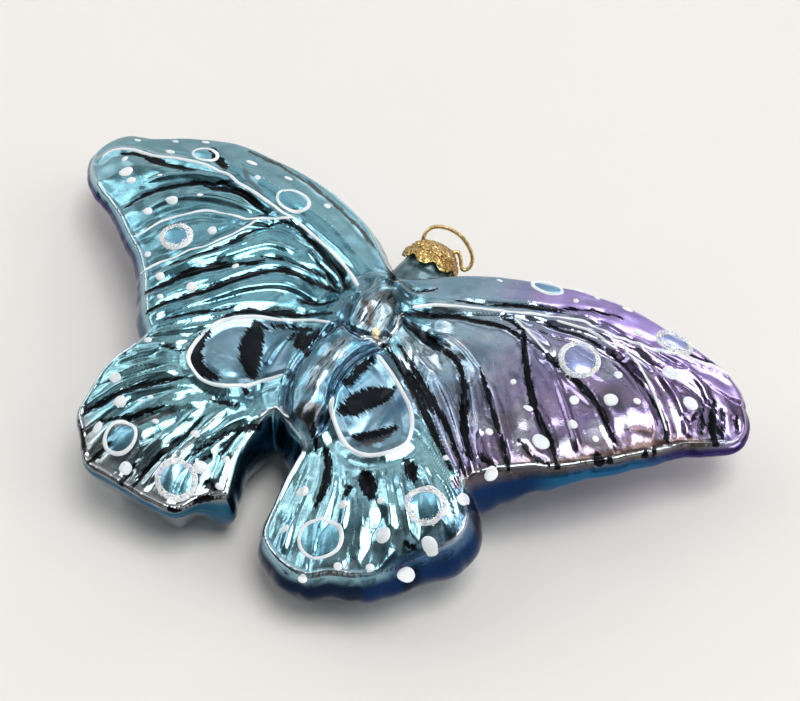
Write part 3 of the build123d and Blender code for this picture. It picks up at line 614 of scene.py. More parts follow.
# ---- outline --------------------------------------------------------------
raw = np.array(RIGHT_EDGE + [(0.0, -15.5)] + LEFT_EDGE[::-1] + [(0.0, 21.4)])
raw = raw[::-1]
closed = np.vstack([raw, raw[:1]])
run = np.r_[0, np.cumsum(np.hypot(*np.diff(closed, axis=0).T))]
n_rim = int(run[-1] / 0.3)
s = np.linspace(0, run[-1], n_rim, endpoint=False)
rim = np.c_[np.interp(s, run, closed[:, 0]), np.interp(s, run, closed[:, 1])]


def round_smooth(a, sigma):
    k = np.arange(-int(3 * sigma) - 1, int(3 * sigma) + 2)
    w = np.exp(-0.5 * (k / sigma) ** 2)
    w /= w.sum()
    return sum(wi * np.roll(a, -ki, axis=0) for wi, ki in zip(w, k))


rim = round_smooth(rim, 2.2)
area = 0.5 * np.sum(rim[:, 0] * np.roll(rim[:, 1], -1) - np.roll(rim[:, 0], -1) * rim[:, 1])
if area < 0:
    rim = rim[::-1].copy()


def normals(curve_pts, sigma):
    t = np.roll(curve_pts, -1, axis=0) - np.roll(curve_pts, 1, axis=0)
    n = np.c_[t[:, 1], -t[:, 0]]
    n = round_smooth(n, sigma)
    return n / np.hypot(n[:, 0], n[:, 1])[:, None]


rim_n = normals(rim, 2.0)
wide_n = normals(rim, 9.0)
coarse_rim = rim[::3]


def rim_distance(P):
    c = np.vstack([coarse_rim, coarse_rim[:1]])
    d, _ = line_distance(P, c)
    return np.where(in_polygon(P, coarse_rim), d, -d)


# ---- base form, the same rules as the CAD shell ---------------------------
fore_edge = [(0.40, 15.0), (0.46, 14.0), (0.53, 10.0), (0.60, 6.4), (0.70, 4.0), (0.85, 3.0), (1.0, 2.6)]
fore_core = [(0.35, 19.0), (0.50, 15.5), (0.65, 11.5), (0.80, 8.0), (1.0, 4.5)]
hind_edge = [(0.0, 14.0), (14.0, 12.0), (26.0, 9.0), (36.0, 7.0)]
rise_rows = [(-0.27, 0.0), (-0.21, 3.6), (-0.05, 4.4), (0.08, 4.6), (0.17, 5.6), (0.26, 5.0), (0.33, 0.5), (0.38, 0.0)]
width_rows = [(-0.25, 4.0), (-0.10, 5.6), (0.05, 6.0), (0.18, 5.4), (0.32, 4.2)]


def edge_z(x, y):
    ax = np.sqrt(x * x + 16.0) - 4.0
    return 15.5 + 0.2203 * ax - 0.268 * x * x / SPAN - 5.0 * smooth((-8.0 - y) / 30.0)


def edge_depth(x, y):
    fore = table(np.abs(x) / SPAN, fore_edge)
    hind = table(-y, hind_edge) * (1.0 - 0.68 * smooth((-9.0 - y) / 10.0) * smooth((-5.0 - x) / 4.0))
    return np.where(y < 0, np.minimum(fore, hind), np.minimum(fore, 11.5))


def body_rise(x, y):
    v = y / SPAN
    rise, hw = table(v, rise_rows), table(v, width_rows)
    ridge = rise * np.exp(-((x / hw) ** 2) * 1.1)
    valley = 1.6 * np.exp(-(((np.abs(x) - 1.9 * hw) / (0.55 * hw)) ** 2)) * smooth((v + 0.24) / 0.1) * smooth((0.30 - v) / 0.1)
    return ridge - valley


def bottom_z(x, y, d):
    e, c = edge_depth(x, y), table(np.abs(x) / SPAN, fore_core)
    depth = e + (np.maximum(e, c) + 1.5 - e) * (1.0 - np.exp(-np.maximum(d, 0) / 5.0))
    z = edge_z(x, y) - depth
    return 0.5 * (z + np.sqrt(z * z + 1.0)) - 0.046


# ---- relief ---------------------------------------------------------------
enamel_lines = [(w, curve(p, 0.5)) for w, p in ENAMEL]
ink_lines = [(e[0], e[1] if len(e) == 3 else "ink", curve(e[-1], 0.8)) for e in INK + MORE]
creases = [(1.0, 0.75, curve(BODY_LEFT, 0.7)), (1.0, 0.70, curve(BODY_RIGHT, 0.7)), (0.75, 0.60, curve(WAIST_LINE, 0.6)), (0.8, 0.8, curve(NECK_CREASE, 0.7))]
folds = [(0.55, 0.42, curve(FOLD_WITH_HIGHLIGHT, 0.5)), (0.30, 0.40, curve(WAIST, 0.5))]
ridge_lines = [(w, curve(p, 0.8)) for w, p in RIDGE]
left_guides = [curve(p, 2.0) for _, p in GUIDES_FL + GUIDES_HL]
right_guides = [curve(p, 2.0) for _, p in GUIDES_FR + GUIDES_HR[::-1]]
n_fore_left, n_fore_right = len(GUIDES_FL), len(GUIDES_FR)
loops = [np.array(ENAMEL[3][1][1:]), np.array(ENAMEL[10][1])]


def fan(P, guides):
    """Running number across the fan of pleats and how far out along them."""
    ds = [line_distance(P, g) for g in guides]
    total = np.full(len(P), 1e9)
    v, u = np.zeros(len(P)), np.zeros(len(P))
    for i in range(len(guides) - 1):
        (da, ua), (db, ub) = ds[i], ds[i + 1]
        m = da + db < total
        total[m] = (da + db)[m]
        f = da / np.maximum(da + db, 1e-6)
        v[m] = i + f[m]
        u[m] = (ua * (1 - f) + ub * f)[m]
    return v, u


def survey(P):
    """Everything about the decorated side at the plan points P."""
    x, y = P[:, 0], P[:, 1]
    n = len(P)
    d = rim_distance(P)
    left = x < 0
    v, u = np.zeros(n), np.zeros(n)
    if left.any():
        v[left], u[left] = fan(P[left], left_guides)
    if (~left).any():
        v[~left], u[~left] = fan(P[~left], right_guides)
    n_fore = np.where(left, n_fore_left - 1, n_fore_right - 1)
    hind = v > n_fore
    in_loop = smooth(0.5 + (in_polygon(P, loops[0]) | in_polygon(P, loops[1])) * 1.0 - 0.5)
    hw = table(y / SPAN, width_rows)
    on_body = np.exp(-((x / (hw * 1.15)) ** 4)) * smooth((y + 18.0) / 4.0) * smooth((24.0 - y) / 3.0)

    # fan pleats: soft cushions between creases, deeper on the hindwings
    warp = 0.55 * (lattice(u * 4.0 + v * 0.4, v * 0.55, 6) - 0.5) * hind * smooth((u - 0.1) / 0.4)
    v_half = np.where(hind & (~left), 0.5 * v + 0.25, v)
    cushion = np.abs(np.sin(math.pi * (v_half + warp))) ** 0.75
    second = np.abs(np.sin(math.pi * (2.0 * v + 0.35 + 0.5 * lattice(u * 5, v * 0.7, 5)))) ** 0.8
    depth = np.where(hind, 0.62 * smooth((u + 0.05) / 0.7) * (0.45 + 0.95 * lattice(v * 0.8 + 7, u * 2.0, 8)) * (1 - 0.55 * smooth((u - 0.70) / 0.2)), 0.50 * smooth((u - 0.05) / 0.6) * smooth((v - 0.9) / 0.6))
    depth = depth * (1 - on_body) * (1 - 0.85 * in_loop)
    fine_share = np.where(hind, 0.06, 0.18) * smooth((u - 0.25) / 0.5)
    relief = depth * (cushion - 0.55) + depth * fine_share * (second - 0.5)

    # slow swells of blown glass and the drawn-out ripples along the pleats
    relief += 0.56 * (lattice(x / 5.5 + 31, y / 5.5 + 17, 1) - 0.5) * (1 - 0.6 * on_body)
    relief += 0.20 * (1 - 0.6 * in_loop) * (lattice(x / 2.3 + 3, y / 2.3 + 9, 2) - 0.5)
    relief += 0.06 * (lattice(v * 5.0, u * 9.0, 3) - 0.5) * smooth((v - 0.8) / 0.5) * (1 - on_body)
    # plump hairy body: short ripples across it
    relief += on_body * (0.10 * (lattice(x / 0.9, y / 3.2, 11) - 0.5) + 0.30 * (lattice(x / 3.0, y / 2.4, 12) - 0.5))

    # raised veins under the enamel, crests, and creases that hold the black
    for w, line in enamel_lines:
        dd, _ = line_distance(P, line, 4.0)
        relief += 0.24 * np.exp(-((dd / 0.8) ** 2)) - 0.16 * np.exp(-(((dd - 1.7) / 0.7) ** 2))
    for w, line in ridge_lines:
        dd, ss = line_distance(P, line, 4.0)
        relief += 0.40 * np.exp(-((dd / 0.62) ** 2)) * smooth(ss / 0.2) * smooth((1 - ss) / 0.15)
    ink = np.full(n, 9.0)
    grey = np.full(n, 9.0)
    brown = np.full(n, 9.0)
    for w, kind, line in ink_lines:
        dd, ss = line_distance(P, line, 4.0)
        taper = 0.30 + 0.70 * np.sqrt(np.clip(np.sin(math.pi * np.clip(ss, 0.02, 0.98)), 0, 1))
        signed = dd - 0.5 * w * taper
        if kind == "grey":
            grey = np.minimum(grey, signed)
        elif kind == "brown":
            brown = np.minimum(brown, signed)
        else:
            ink = np.minimum(ink, signed)
        relief -= (0.26 if kind == "ink" else 0.12) * np.exp(-((dd / (0.35 + 0.42 * w)) ** 2)) * smooth(ss / 0.15) * smooth((1 - ss) / 0.15)

    # distance to the body creases; the colour pass uses it to paint shade darkening the creases
    crease_shade = np.full(n, 9.0)
    for deep, wide, line in creases:
        dd, ss = line_distance(P, line, 4.0)
        fade = smooth(ss / 0.10) * smooth((1 - ss) / 0.10)
        relief -= deep * np.exp(-((dd / wide) ** 2)) * fade
        crease_shade = np.minimum(crease_shade, dd + 1.5 * (1 - fade))
    # distance to the raised folds, used for the painted highlight along them
    fold_highlight = np.full(n, 9.0)
    for high, wide, line in folds:
        dd, ss = line_distance(P, line, 4.0)
        relief += high * np.exp(-((dd / wide) ** 2)) * smooth(ss / 0.1) * smooth((1 - ss) / 0.1)
        fold_highlight = np.minimum(fold_highlight, dd)
    disc = np.zeros(n)
    for cx, cy, rx, ry, _ in RINGS:
        q = np.hypot((x - cx) / rx, (y - cy) / ry)
        disc = np.maximum(disc, smooth((1.12 - q) / 0.25))
        relief = np.where(q < 1.0, relief * (0.45 + 0.55 * q) + 0.30 * (1 - q * q), relief)
    # rim bead: a raised relief, and the same mask lays a painted highlight along the rim
    bead_and_highlight_region = smooth((-9.0 - y) / 4.0) * (1 - smooth((x - 21.0) / 4.0)) + smooth((x - 28.0) / 6.0) * smooth((24.0 - y) / 6.0)
    bead_and_highlight_region = np.clip(bead_and_highlight_region + smooth((-30.0 - x) / 6.0) * smooth((24.0 - y) / 5.0) * 0.8, 0, 1)
    bead_and_highlight = bead_and_highlight_region * np.exp(-(((d - 0.50) / 0.30) ** 2))

    # margin: soft roll over the edge, wider on the outer margin of the right hindwing
    roll = 0.55 + 2.3 * smooth((x - 22.0) / 5.0) * smooth((-10.5 - y) / 3.0) * smooth((31.0 + y) / 4.0)
    k = np.clip(1.0 - d / roll, 0.0, 1.0)
    drop = roll * (1.0 - np.sqrt(np.maximum(0.0, 1.0 - k * k * 0.9))) * 0.75
    near = 0.45 + 0.55 * smooth(d / 1.8)
    z = edge_z(x, y) + 1.2 * (1 - np.exp(-np.maximum(d, 0) / 6.0)) + body_rise(x, y) + relief * near - drop + 0.22 * bead_and_highlight
    costal = (~left) & (v < 1.3) & (~hind)
    z = z + 1.15 * costal * np.exp(-np.maximum(d, 0) / 5.0) * smooth((x - 16.0) / 14.0) * smooth((y - 19.0) / 6.0) * smooth((1.3 - v) / 0.5)
    return dict(z=z, d=d, v=v, u=u, hind=hind, ink=ink, grey=grey, brown=brown, on_body=on_body, in_loop=in_loop, left=left, n_fore=n_fore, crease_shade=crease_shade, fold_highlight=fold_highlight, disc=disc, bead_and_highlight=bead_and_highlight)


# ---- decorated side -------------------------------------------------------
STEP = 0.27
gx = np.arange(-67.0, 66.0, STEP)
gy = np.arange(-37.5, 35.5, STEP * 0.866)
X, Y = np.meshgrid(gx, gy)
X = X + (np.arange(len(gy)) % 2)[:, None] * STEP * 0.5
grid = np.c_[X.ravel(), Y.ravel()]
grid = grid[in_polygon(grid, rim[::4])]
grid = grid[rim_distance(grid) > 0.42]
inner_rows = []
for off in (0.14, 0.29):
    q = rim - rim_n * off
    inner_rows.append(q[np.abs(rim_distance(q) - off) < 0.05])
flat = np.vstack([rim, *inner_rows, grid])
n_edge = len(rim)
cdt = delaunay_2d_cdt([Vector(p) for p in flat], [(i, (i + 1) % n_edge) for i in range(n_edge)], [], 1, 1e-7, True)
top_plan = np.array([tuple(p) for p in cdt[0]])
top_tris = np.array([tuple(f) for f in cdt[2]])
top_tris = top_tris[in_polygon(top_plan[top_tris].mean(1), rim)]
back = np.full(n_edge, -1)
for new, olds in enumerate(cdt[3]):
    for o in olds:
        if o < n_edge:
            back[o] = new
info = survey(top_plan)
print("top", len(top_plan), len(top_tris), "lost rim", int((back < 0).sum()))

# ---- side wall ------------------------------------------------------------
ROWS = 20
rim_top = info["z"][back]
rim_bottom = bottom_z(rim[:, 0], rim[:, 1], np.zeros(n_edge))
depth_here = np.minimum(edge_depth(rim[:, 0], rim[:, 1]), 12.0)
left_rear = smooth((-6.0 - rim[:, 1]) / 8.0) * smooth((-4.0 - rim[:, 0]) / 3.0)
most = (0.4 + 0.16 * depth_here) * (1 - 0.75 * left_rear)
tail_gap = (rim[:, 1] < -13.0) & (np.abs(rim[:, 0]) < 7.8)
most = round_smooth(np.where(tail_gap, most * 0.6, most), 4.0)
arc = np.arange(n_edge) * 0.3
hind_part = smooth((-10.0 - rim[:, 1]) / 6.0)
flute = (0.12 + 0.26 * hind_part) * (np.abs(np.sin(math.pi * (arc / 5.6 + 0.9 * lattice(arc / 9.0, arc * 0, 21)))) - 0.6)
flute *= (0.35 + 1.0 * lattice(arc / 6.0, arc * 0, 24)) * (1 - 0.6 * left_rear)
flute += 0.12 * (lattice(arc / 1.3, arc * 0, 22) - 0.5)
side = []
for r in range(1, ROWS + 1):
    t = 1.0 - r / ROWS
    swell = most * math.sin(math.pi * t**0.85)
    ripple = flute * math.sin(math.pi * min(1.0, (1 - t) * 1.15)) ** 0.7 + 0.10 * (lattice(arc / 2.2, arc * 0 + r * 0.45, 23) - 0.5) * math.sin(math.pi * t)
    q = rim + wide_n * swell[:, None] + rim_n * ripple[:, None]
    side.append(np.c_[q, rim_bottom + (rim_top - rim_bottom) * t])

# ---- underside ------------------------------------------------------------
U = 0.9
X, Y = np.meshgrid(np.arange(-67.0, 66.0, U), np.arange(-37.5, 35.5, U * 0.866))
X = X + (np.arange(X.shape[0]) % 2)[:, None] * U * 0.5
low = np.c_[X.ravel(), Y.ravel()]
low = low[in_polygon(low, rim[::4])]
low = low[rim_distance(low) > 0.6]
low_flat = np.vstack([rim, low])
n_low = n_edge
low_cdt = delaunay_2d_cdt([Vector(p) for p in low_flat], [(i, (i + 1) % n_low) for i in range(n_low)], [], 1, 1e-7, True)
low_plan = np.array([tuple(p) for p in low_cdt[0]])
low_tris = np.array([tuple(f) for f in low_cdt[2]])
low_tris = low_tris[in_polygon(low_plan[low_tris].mean(1), rim)]
low_back = np.full(n_edge, -1)
for new, olds in enumerate(low_cdt[3]):
    for o in olds:
        if o < n_edge:
            low_back[o] = new
low_d = rim_distance(low_plan)
lv, lu = np.zeros(len(low_plan)), np.zeros(len(low_plan))
m = low_plan[:, 0] < 0
lv[m], lu[m] = fan(low_plan[m], left_guides)
lv[~m], lu[~m] = fan(low_plan[~m], right_guides)
low_z = bottom_z(low_plan[:, 0], low_plan[:, 1], low_d)
swell = 0.45 * (np.abs(np.sin(math.pi * lv)) ** 0.8 - 0.5) * smooth(lu / 0.5) + 0.5 * (lattice(low_plan[:, 0] / 5 + 50, low_plan[:, 1] / 5 + 50, 31) - 0.5)
low_z = np.maximum(0.0, low_z + swell * smooth(low_d / 2.0) * smooth(low_z / 1.2))

# ---- one mesh for the silvered shell --------------------------------------
n_top = len(top_plan)
verts = [np.c_[top_plan, info["z"]]]
side_start = n_top
verts += side[:-1]
low_start = n_top + n_edge * (ROWS - 1)
verts.append(np.c_[low_plan, low_z])
verts = np.vstack(verts)


def row_index(r):
    if r == 0:
        return back
    if r == ROWS:
        return low_start + low_back
    return side_start + (r - 1) * n_edge + np.arange(n_edge)


quads = []
for r in range(ROWS):
    a, b = row_index(r), row_index(r + 1)
    quads.append(np.c_[a, b, np.roll(b, -1), np.roll(a, -1)])
quads = np.vstack(quads)

# neck tube growing out of the front of the body, open bore
NA = 72
neck_stations = [(0.3, 20.2, 8.3, 0.0, 7.6), (0.5, 21.8, 8.4, 1.0, 7.1), (0.7, 23.4, 8.5, 3.0, 6.5), (0.75, 24.8, 8.6, 7.0, 5.95), (0.8, 26.0, 8.8, 12.0, 5.5),
                 (0.9, 27.3, 9.42, 19.0, 5.15), (0.97, 28.3, 9.98, 25.0, 4.9)]
neck_profile = [(4.75, -1.9), (4.5, -1.3), (4.3, -0.8), (4.16, -0.3), (4.1, 0.2), (4.1, 0.8), (4.02, 1.0), (3.75, 1.06), (3.46, 1.0), (3.4, 0.8), (3.4, -0.8), (3.4, -2.6), (3.4, -4.4)]
c33, s33 = math.cos(NECK_TILT), math.sin(NECK_TILT)


def neck_frame(u, t, v):
    """Across, along and over the neck's own axis, into the plan frame."""
    return np.c_[CAP_AT[0] + u, CAP_AT[1] + t * c33 - v * s33, CAP_AT[2] + t * s33 + v * c33]


neck = []
a = np.linspace(0, 2 * math.pi, NA, endpoint=False)
for cx, cy, cz, tilt, r in neck_stations:
    share = float(smooth((27.5 - cy) / 6.0))
    rr = r * (1 + 0.05 * share * np.cos(3 * a + 0.6) + 0.03 * share * np.cos(5 * a))
    over = rr * (1.0 - 0.22 * share) * np.sin(a)
    k = math.radians(tilt)
    neck.append(np.c_[cx + rr * np.cos(a), cy - over * math.sin(k), cz + over * math.cos(k)])
for r, t in neck_profile:
    neck.append(neck_frame(r * np.cos(a), t, r * np.sin(a)))
neck_start = len(verts)
verts = np.vstack([verts, *neck])
neck_quads = []
for i in range(len(neck) - 1):
    a = neck_start + i * NA + np.arange(NA)
    b = a + NA
    neck_quads.append(np.c_[a, np.roll(a, -1), np.roll(b, -1), b])
neck_quads = np.vstack(neck_quads)


def to_part(p):
    p = np.asarray(p, float)
    return np.c_[p[:, 0] + SX, p[:, 1] + SY, p[:, 2]] / 1000.0


def make_mesh(name, points, faces, materials, index=None, sharp=False):
    me = bpy.data.meshes.new(name)
    me.from_pydata(to_part(points).tolist(), [], faces)
    for m in materials:
        me.materials.append(m)
    if index is not None:
        me.polygons.foreach_set("material_index", np.asarray(index, np.int32))
    if not sharp:
        me.polygons.foreach_set("use_smooth", np.ones(len(me.polygons), bool))
    me.update()
    ob = bpy.data.objects.new(name, me)
    bpy.context.scene.collection.objects.link(ob)
    return ob


def put(ob, name, kind, values):
    at = ob.data.attributes.new(name, kind, "POINT")
    key = {"FLOAT": "value", "FLOAT_VECTOR": "vector", "FLOAT_COLOR": "color"}[kind]
    at.data.foreach_set(key, np.asarray(values, np.float32).ravel())


# ---- node helpers ---------------------------------------------------------
class Nodes:
    def __init__(self, tree):
        self.t = tree
        tree.nodes.clear()

    def add(self, kind, _ins=None, **props):
        n = self.t.nodes.new(kind)
        for k, v in props.items():
            setattr(n, k, v)
        for k, v in (_ins or {}).items():
            sock = n.inputs[k]
            if isinstance(v, bpy.types.NodeSocket):
                self.t.links.new(v, sock)
            else:
                sock.default_value = v
        return n

    def math(self, op, a, b=0.0, c=0.0, clamp=False):
        n = self.add("ShaderNodeMath", {0: a, 1: b, 2: c}, operation=op)
        n.use_clamp = clamp
        return n.outputs[0]

    def mix(self, fac, a, b, blend="MIX"):
        n = self.add("ShaderNodeMix", data_type="RGBA", blend_type=blend)
        for sock, v in ((n.inputs[0], fac), (n.inputs[6], a), (n.inputs[7], b)):
            if isinstance(v, bpy.types.NodeSocket):
                self.t.links.new(v, sock)
            else:
                sock.default_value = v
        return n.outputs[2]

    def span(self, value, a, b, lo=0.0, hi=1.0, kind="SMOOTHSTEP"):
        n = self.add("ShaderNodeMapRange", {"Value": value, "From Min": a, "From Max": b, "To Min": lo, "To Max": hi}, interpolation_type=kind)
        return n.outputs[0]

    def noise(self, vector, scale, detail=2.0, rough=0.5):
        return self.add("ShaderNodeTexNoise", {"Vector": vector, "Scale": scale, "Detail": detail, "Roughness": rough}).outputs[0]

    def attr(self, name, out="Fac"):
        return self.add("ShaderNodeAttribute", attribute_name=name).outputs[out]

    def stretched(self, vector, scale):
        return self.add("ShaderNodeMapping", {"Vector": vector, "Scale": scale}).outputs[0]


def material(name):
    m = bpy.data.materials.new(name)
    m.use_nodes = True
    N = Nodes(m.node_tree)
    bsdf = N.add("ShaderNodeBsdfPrincipled")
    out = N.add("ShaderNodeOutputMaterial", {"Surface": bsdf.outputs[0]})
    return m, N, bsdf


def tie(N, a, sock):
    N.t.links.new(a, sock)


# ---- silvered, lacquered glass --------------------------------------------
glass, N, B = material("lacquered_glass")
obj = N.add("ShaderNodeTexCoord").outputs["Object"]
flow = N.attr("flow", "Vector")
tint = N.attr("tint", "Color")
n_edge_fine = N.noise(N.stretched(obj, (1, 1, 1)), 2600.0, 3.0, 0.6)
n_hair = N.noise(N.stretched(flow, (2.6, 0.32, 1.0)), 1.0, 3.0, 0.65)
rag = N.attr("rag")
wall_at = N.attr("wall")
n_mottle = N.noise(obj, 170.0, 3.0, 0.55)
n_fleck = N.noise(obj, 900.0, 2.0, 0.5)
n_streak = N.noise(N.stretched(flow, (1.3, 0.10, 1.0)), 1.0, 2.0, 0.5)
ragged = N.math("ADD", N.math("MULTIPLY", N.math("SUBTRACT", n_hair, 0.5), rag), N.math("MULTIPLY", N.math("SUBTRACT", n_edge_fine, 0.5), 0.45))
ink_at = N.math("SUBTRACT", N.math("ADD", N.attr("ink"), ragged), 0.05)
ink_mask = N.span(ink_at, 0.10, -0.06)
dry = N.span(n_hair, 0.40, 0.56)
fur_at = N.math("ADD", N.attr("grey"), N.math("MULTIPLY", N.math("SUBTRACT", n_hair, 0.48), 1.6))
grey_mask = N.math("MULTIPLY", N.span(fur_at, 0.25, -0.15), 0.80)
brown_at = N.math("ADD", N.attr("brown"), N.math("MULTIPLY", ragged, 1.2))
brown_mask = N.math("MULTIPLY", N.span(brown_at, 0.25, -0.15), 0.85)
hair_mask = N.math("MULTIPLY", N.attr("fur"), N.span(n_hair, 0.53, 0.60))
c = N.mix(N.span(n_mottle, 0.30, 0.75), tint, N.mix(1.0, tint, (0.74, 0.82, 0.90, 1), "MULTIPLY"))
c = N.mix(N.math("MULTIPLY", N.span(n_streak, 0.52, 0.70), 0.15), c, N.mix(1.0, c, (1.45, 1.35, 1.25, 1), "MULTIPLY"))
c = N.mix(N.math("MULTIPLY", N.span(n_streak, 0.44, 0.30), 0.30), c, N.mix(1.0, c, (0.38, 0.50, 0.60, 1), "MULTIPLY"))
c = N.mix(N.math("MULTIPLY", N.span(n_fleck, 0.62, 0.72), N.math("MULTIPLY", N.math("SUBTRACT", 1.0, wall_at), 0.18)), c, (0.55, 0.75, 0.85, 1))
c = N.mix(brown_mask, c, (0.070, 0.046, 0.036, 1))
c = N.mix(grey_mask, c, (0.10, 0.125, 0.145, 1))
c = N.mix(hair_mask, c, (0.012, 0.016, 0.020, 1))
c = N.mix(ink_mask, c, (0.007, 0.009, 0.012, 1))
tie(N, c, B.inputs["Base Color"])
cover = N.math("MAXIMUM", ink_mask, N.math("MAXIMUM", N.math("MULTIPLY", grey_mask, 0.8), N.math("MAXIMUM", brown_mask, hair_mask)))
tie(N, N.math("SUBTRACT", 0.97, N.math("MULTIPLY", grey_mask, 0.5)), B.inputs["Metallic"])
rough = N.math("ADD", N.math("ADD", 0.10, N.math("MULTIPLY", N.attr("satin"), 0.20)), N.math("MULTIPLY", cover, 0.16))
tie(N, N.math("ADD", rough, N.math("MULTIPLY", n_mottle, 0.06)), B.inputs["Roughness"])
tie(N, N.math("MULTIPLY", N.math("SUBTRACT", 0.80, N.math("MULTIPLY", cover, 0.76)), N.math("SUBTRACT", 1.0, N.math("MULTIPLY", wall_at, 0.85))), B.inputs["Coat Weight"])
B.inputs["Coat Roughness"].default_value = 0.04
B.inputs["IOR"].default_value = 1.5
height = N.math("ADD", N.math("MULTIPLY", n_streak, 0.00006), N.math("ADD", N.math("MULTIPLY", n_edge_fine, 0.00003), N.math("MULTIPLY", n_fleck, 0.00006)))
bump = N.add("ShaderNodeBump", {"Height": height, "Strength": 0.55, "Distance": 1.0})
tie(N, bump.outputs[0], B.inputs["Normal"])

# bare glass of the neck, silvering seen through grey-blue
neck_glass, N, B = material("neck_glass")
obj = N.add("ShaderNodeTexCoord").outputs["Object"]
a = N.noise(N.stretched(obj, (1.0, 0.25, 1.0)), 900.0, 3.0, 0.6)
b = N.noise(obj, 260.0, 2.0)
c = N.mix(N.span(a, 0.3, 0.7), (0.055, 0.115, 0.140, 1), (0.120, 0.210, 0.240, 1))
c = N.mix(N.math("MULTIPLY", N.span(b, 0.5, 0.7), 0.5), c, (0.022, 0.045, 0.062, 1))
tie(N, c, B.inputs["Base Color"])
B.inputs["Metallic"].default_value = 0.55
tie(N, N.math("ADD", 0.32, N.math("MULTIPLY", b, 0.15)), B.inputs["Roughness"])
B.inputs["Coat Weight"].default_value = 0.35
B.inputs["Coat Roughness"].default_value = 0.05
bump = N.add("ShaderNodeBump", {"Height": a, "Strength": 0.25, "Distance": 0.0003})
tie(N, bump.outputs[0], B.inputs["Normal"])

# raised white enamel
enamel, N, B = material("white_enamel")
obj = N.add("ShaderNodeTexCoord").outputs["Object"]
a = N.noise(obj, 1500.0, 3.0, 0.6)
b = N.noise(obj, 300.0, 2.0)
c = N.mix(N.span(b, 0.35, 0.70), (0.86, 0.90, 0.93, 1), (0.72, 0.80, 0.86, 1))
c = N.mix(N.math("MULTIPLY", N.span(a, 0.60, 0.72), 0.35), c, (0.55, 0.68, 0.76, 1))
tie(N, c, B.inputs["Base Color"])
tie(N, N.math("ADD", 0.22, N.math("MULTIPLY", a, 0.2)), B.inputs["Roughness"])
bump = N.add("ShaderNodeBump", {"Height": a, "Strength": 0.35, "Distance": 0.00012})
tie(N, bump.outputs[0], B.inputs["Normal"])

# glitter grains in wet enamel
glitter, N, B = material("glitter_grains")
obj = N.add("ShaderNodeTexCoord").outputs["Object"]
cell = N.add("ShaderNodeTexVoronoi", {"Vector": obj, "Scale": 2600.0})
h = N.add("ShaderNodeSeparateColor", {"Color": cell.outputs["Color"]})
c = N.mix(N.span(h.outputs[0], 0.55, 0.75), (0.80, 0.86, 0.88, 1), (0.62, 0.74, 0.80, 1))
c = N.mix(N.span(h.outputs[1], 0.72, 0.80), c, (0.95, 0.88, 0.72, 1))
c = N.mix(N.span(h.outputs[2], 0.78, 0.84), c, (0.62, 0.58, 0.90, 1))
tie(N, c, B.inputs["Base Color"])
tie(N, N.span(h.outputs[0], 0.35, 0.75, 0.10, 0.85), B.inputs["Metallic"])
tie(N, N.span(h.outputs[1], 0.2, 0.9, 0.12, 0.38), B.inputs["Roughness"])

# stamped gold-coloured sheet
def gilt(name, light, dark, grain):
    m, N, B = material(name)
    obj = N.add("ShaderNodeTexCoord").outputs["Object"]
    a = N.noise(obj, 1400.0, 3.0, 0.65)
    b = N.noise(obj, 420.0, 3.0, 0.6)
    v = N.add("ShaderNodeTexVoronoi", {"Vector": obj, "Scale": 1700.0})
    c = N.mix(N.span(b, 0.35, 0.68), dark, light)
    c = N.mix(N.math("MULTIPLY", N.span(a, 0.56, 0.72), 0.5), c, (1.0, 0.86, 0.58, 1))
    tie(N, c, B.inputs["Base Color"])
    B.inputs["Metallic"].default_value = 1.0
    tie(N, N.span(a, 0.3, 0.7, 0.16, 0.36), B.inputs["Roughness"])
    hgt = N.math("ADD", N.math("MULTIPLY", v.outputs["Distance"], grain), N.math("MULTIPLY", a, grain * 0.6))
    bump = N.add("ShaderNodeBump", {"Height": hgt, "Strength": 0.7, "Distance": 0.0003})
    tie(N, bump.outputs[0], B.inputs["Normal"])
    return m


gilt_cap = gilt("gilt_cap", (0.62, 0.45, 0.18, 1), (0.34, 0.20, 0.06, 1), 1.0)
gilt_wire = gilt("gilt_wire", (0.72, 0.56, 0.28, 1), (0.50, 0.35, 0.13, 1), 0.12)


# ---- lacquer colours over the decorated side, with painted shade in the creases and painted highlights on folds, rim bead and waist ---
def blend_to(a, b, f):
    return a * (1 - f[:, None]) + np.array(b)[None, :] * f[:, None]


x, y, v, u = top_plan[:, 0], top_plan[:, 1], info["v"], info["u"]
left, hind, nf = info["left"], info["hind"], info["n_fore"]
soft = lattice(x / 9 + 70, y / 9 + 70, 41)
tint = np.tile(np.array([0.165, 0.420, 0.505]), (len(x), 1))
tint = blend_to(tint, (0.270, 0.520, 0.600), smooth((x - 0.0) / 4.0) * hind)
tint = blend_to(tint, (0.215, 0.460, 0.520), hind * left)
fr = (~left) & (~hind)
across = smooth((x + 0.9 * (22.0 - y) * 0.25 + 8.0 * (soft - 0.5) - 18.0) / 18.0) * fr
tint = blend_to(tint, (0.310, 0.460, 0.560), fr * smooth((x - 6.0) / 6.0))
tint = blend_to(tint, (0.290, 0.225, 0.420), across)
tint = blend_to(tint, (0.360, 0.255, 0.520), fr * smooth((x - 40.0) / 14.0) * 0.9)
tint = blend_to(tint, (0.190, 0.340, 0.470), fr * smooth((9.0 - y) / 8.0) * smooth((28.0 - x) / 12.0) * 0.7)
clouds = lattice(x / 3.1 + 20, y / 3.1 + 40, 42)
tint = blend_to(tint, (0.230, 0.190, 0.300), across * smooth((clouds - 0.45) / 0.25) * 0.6)
tint = blend_to(tint, (0.520, 0.560, 0.620), fr * smooth((0.34 - clouds) / 0.2) * 0.5)
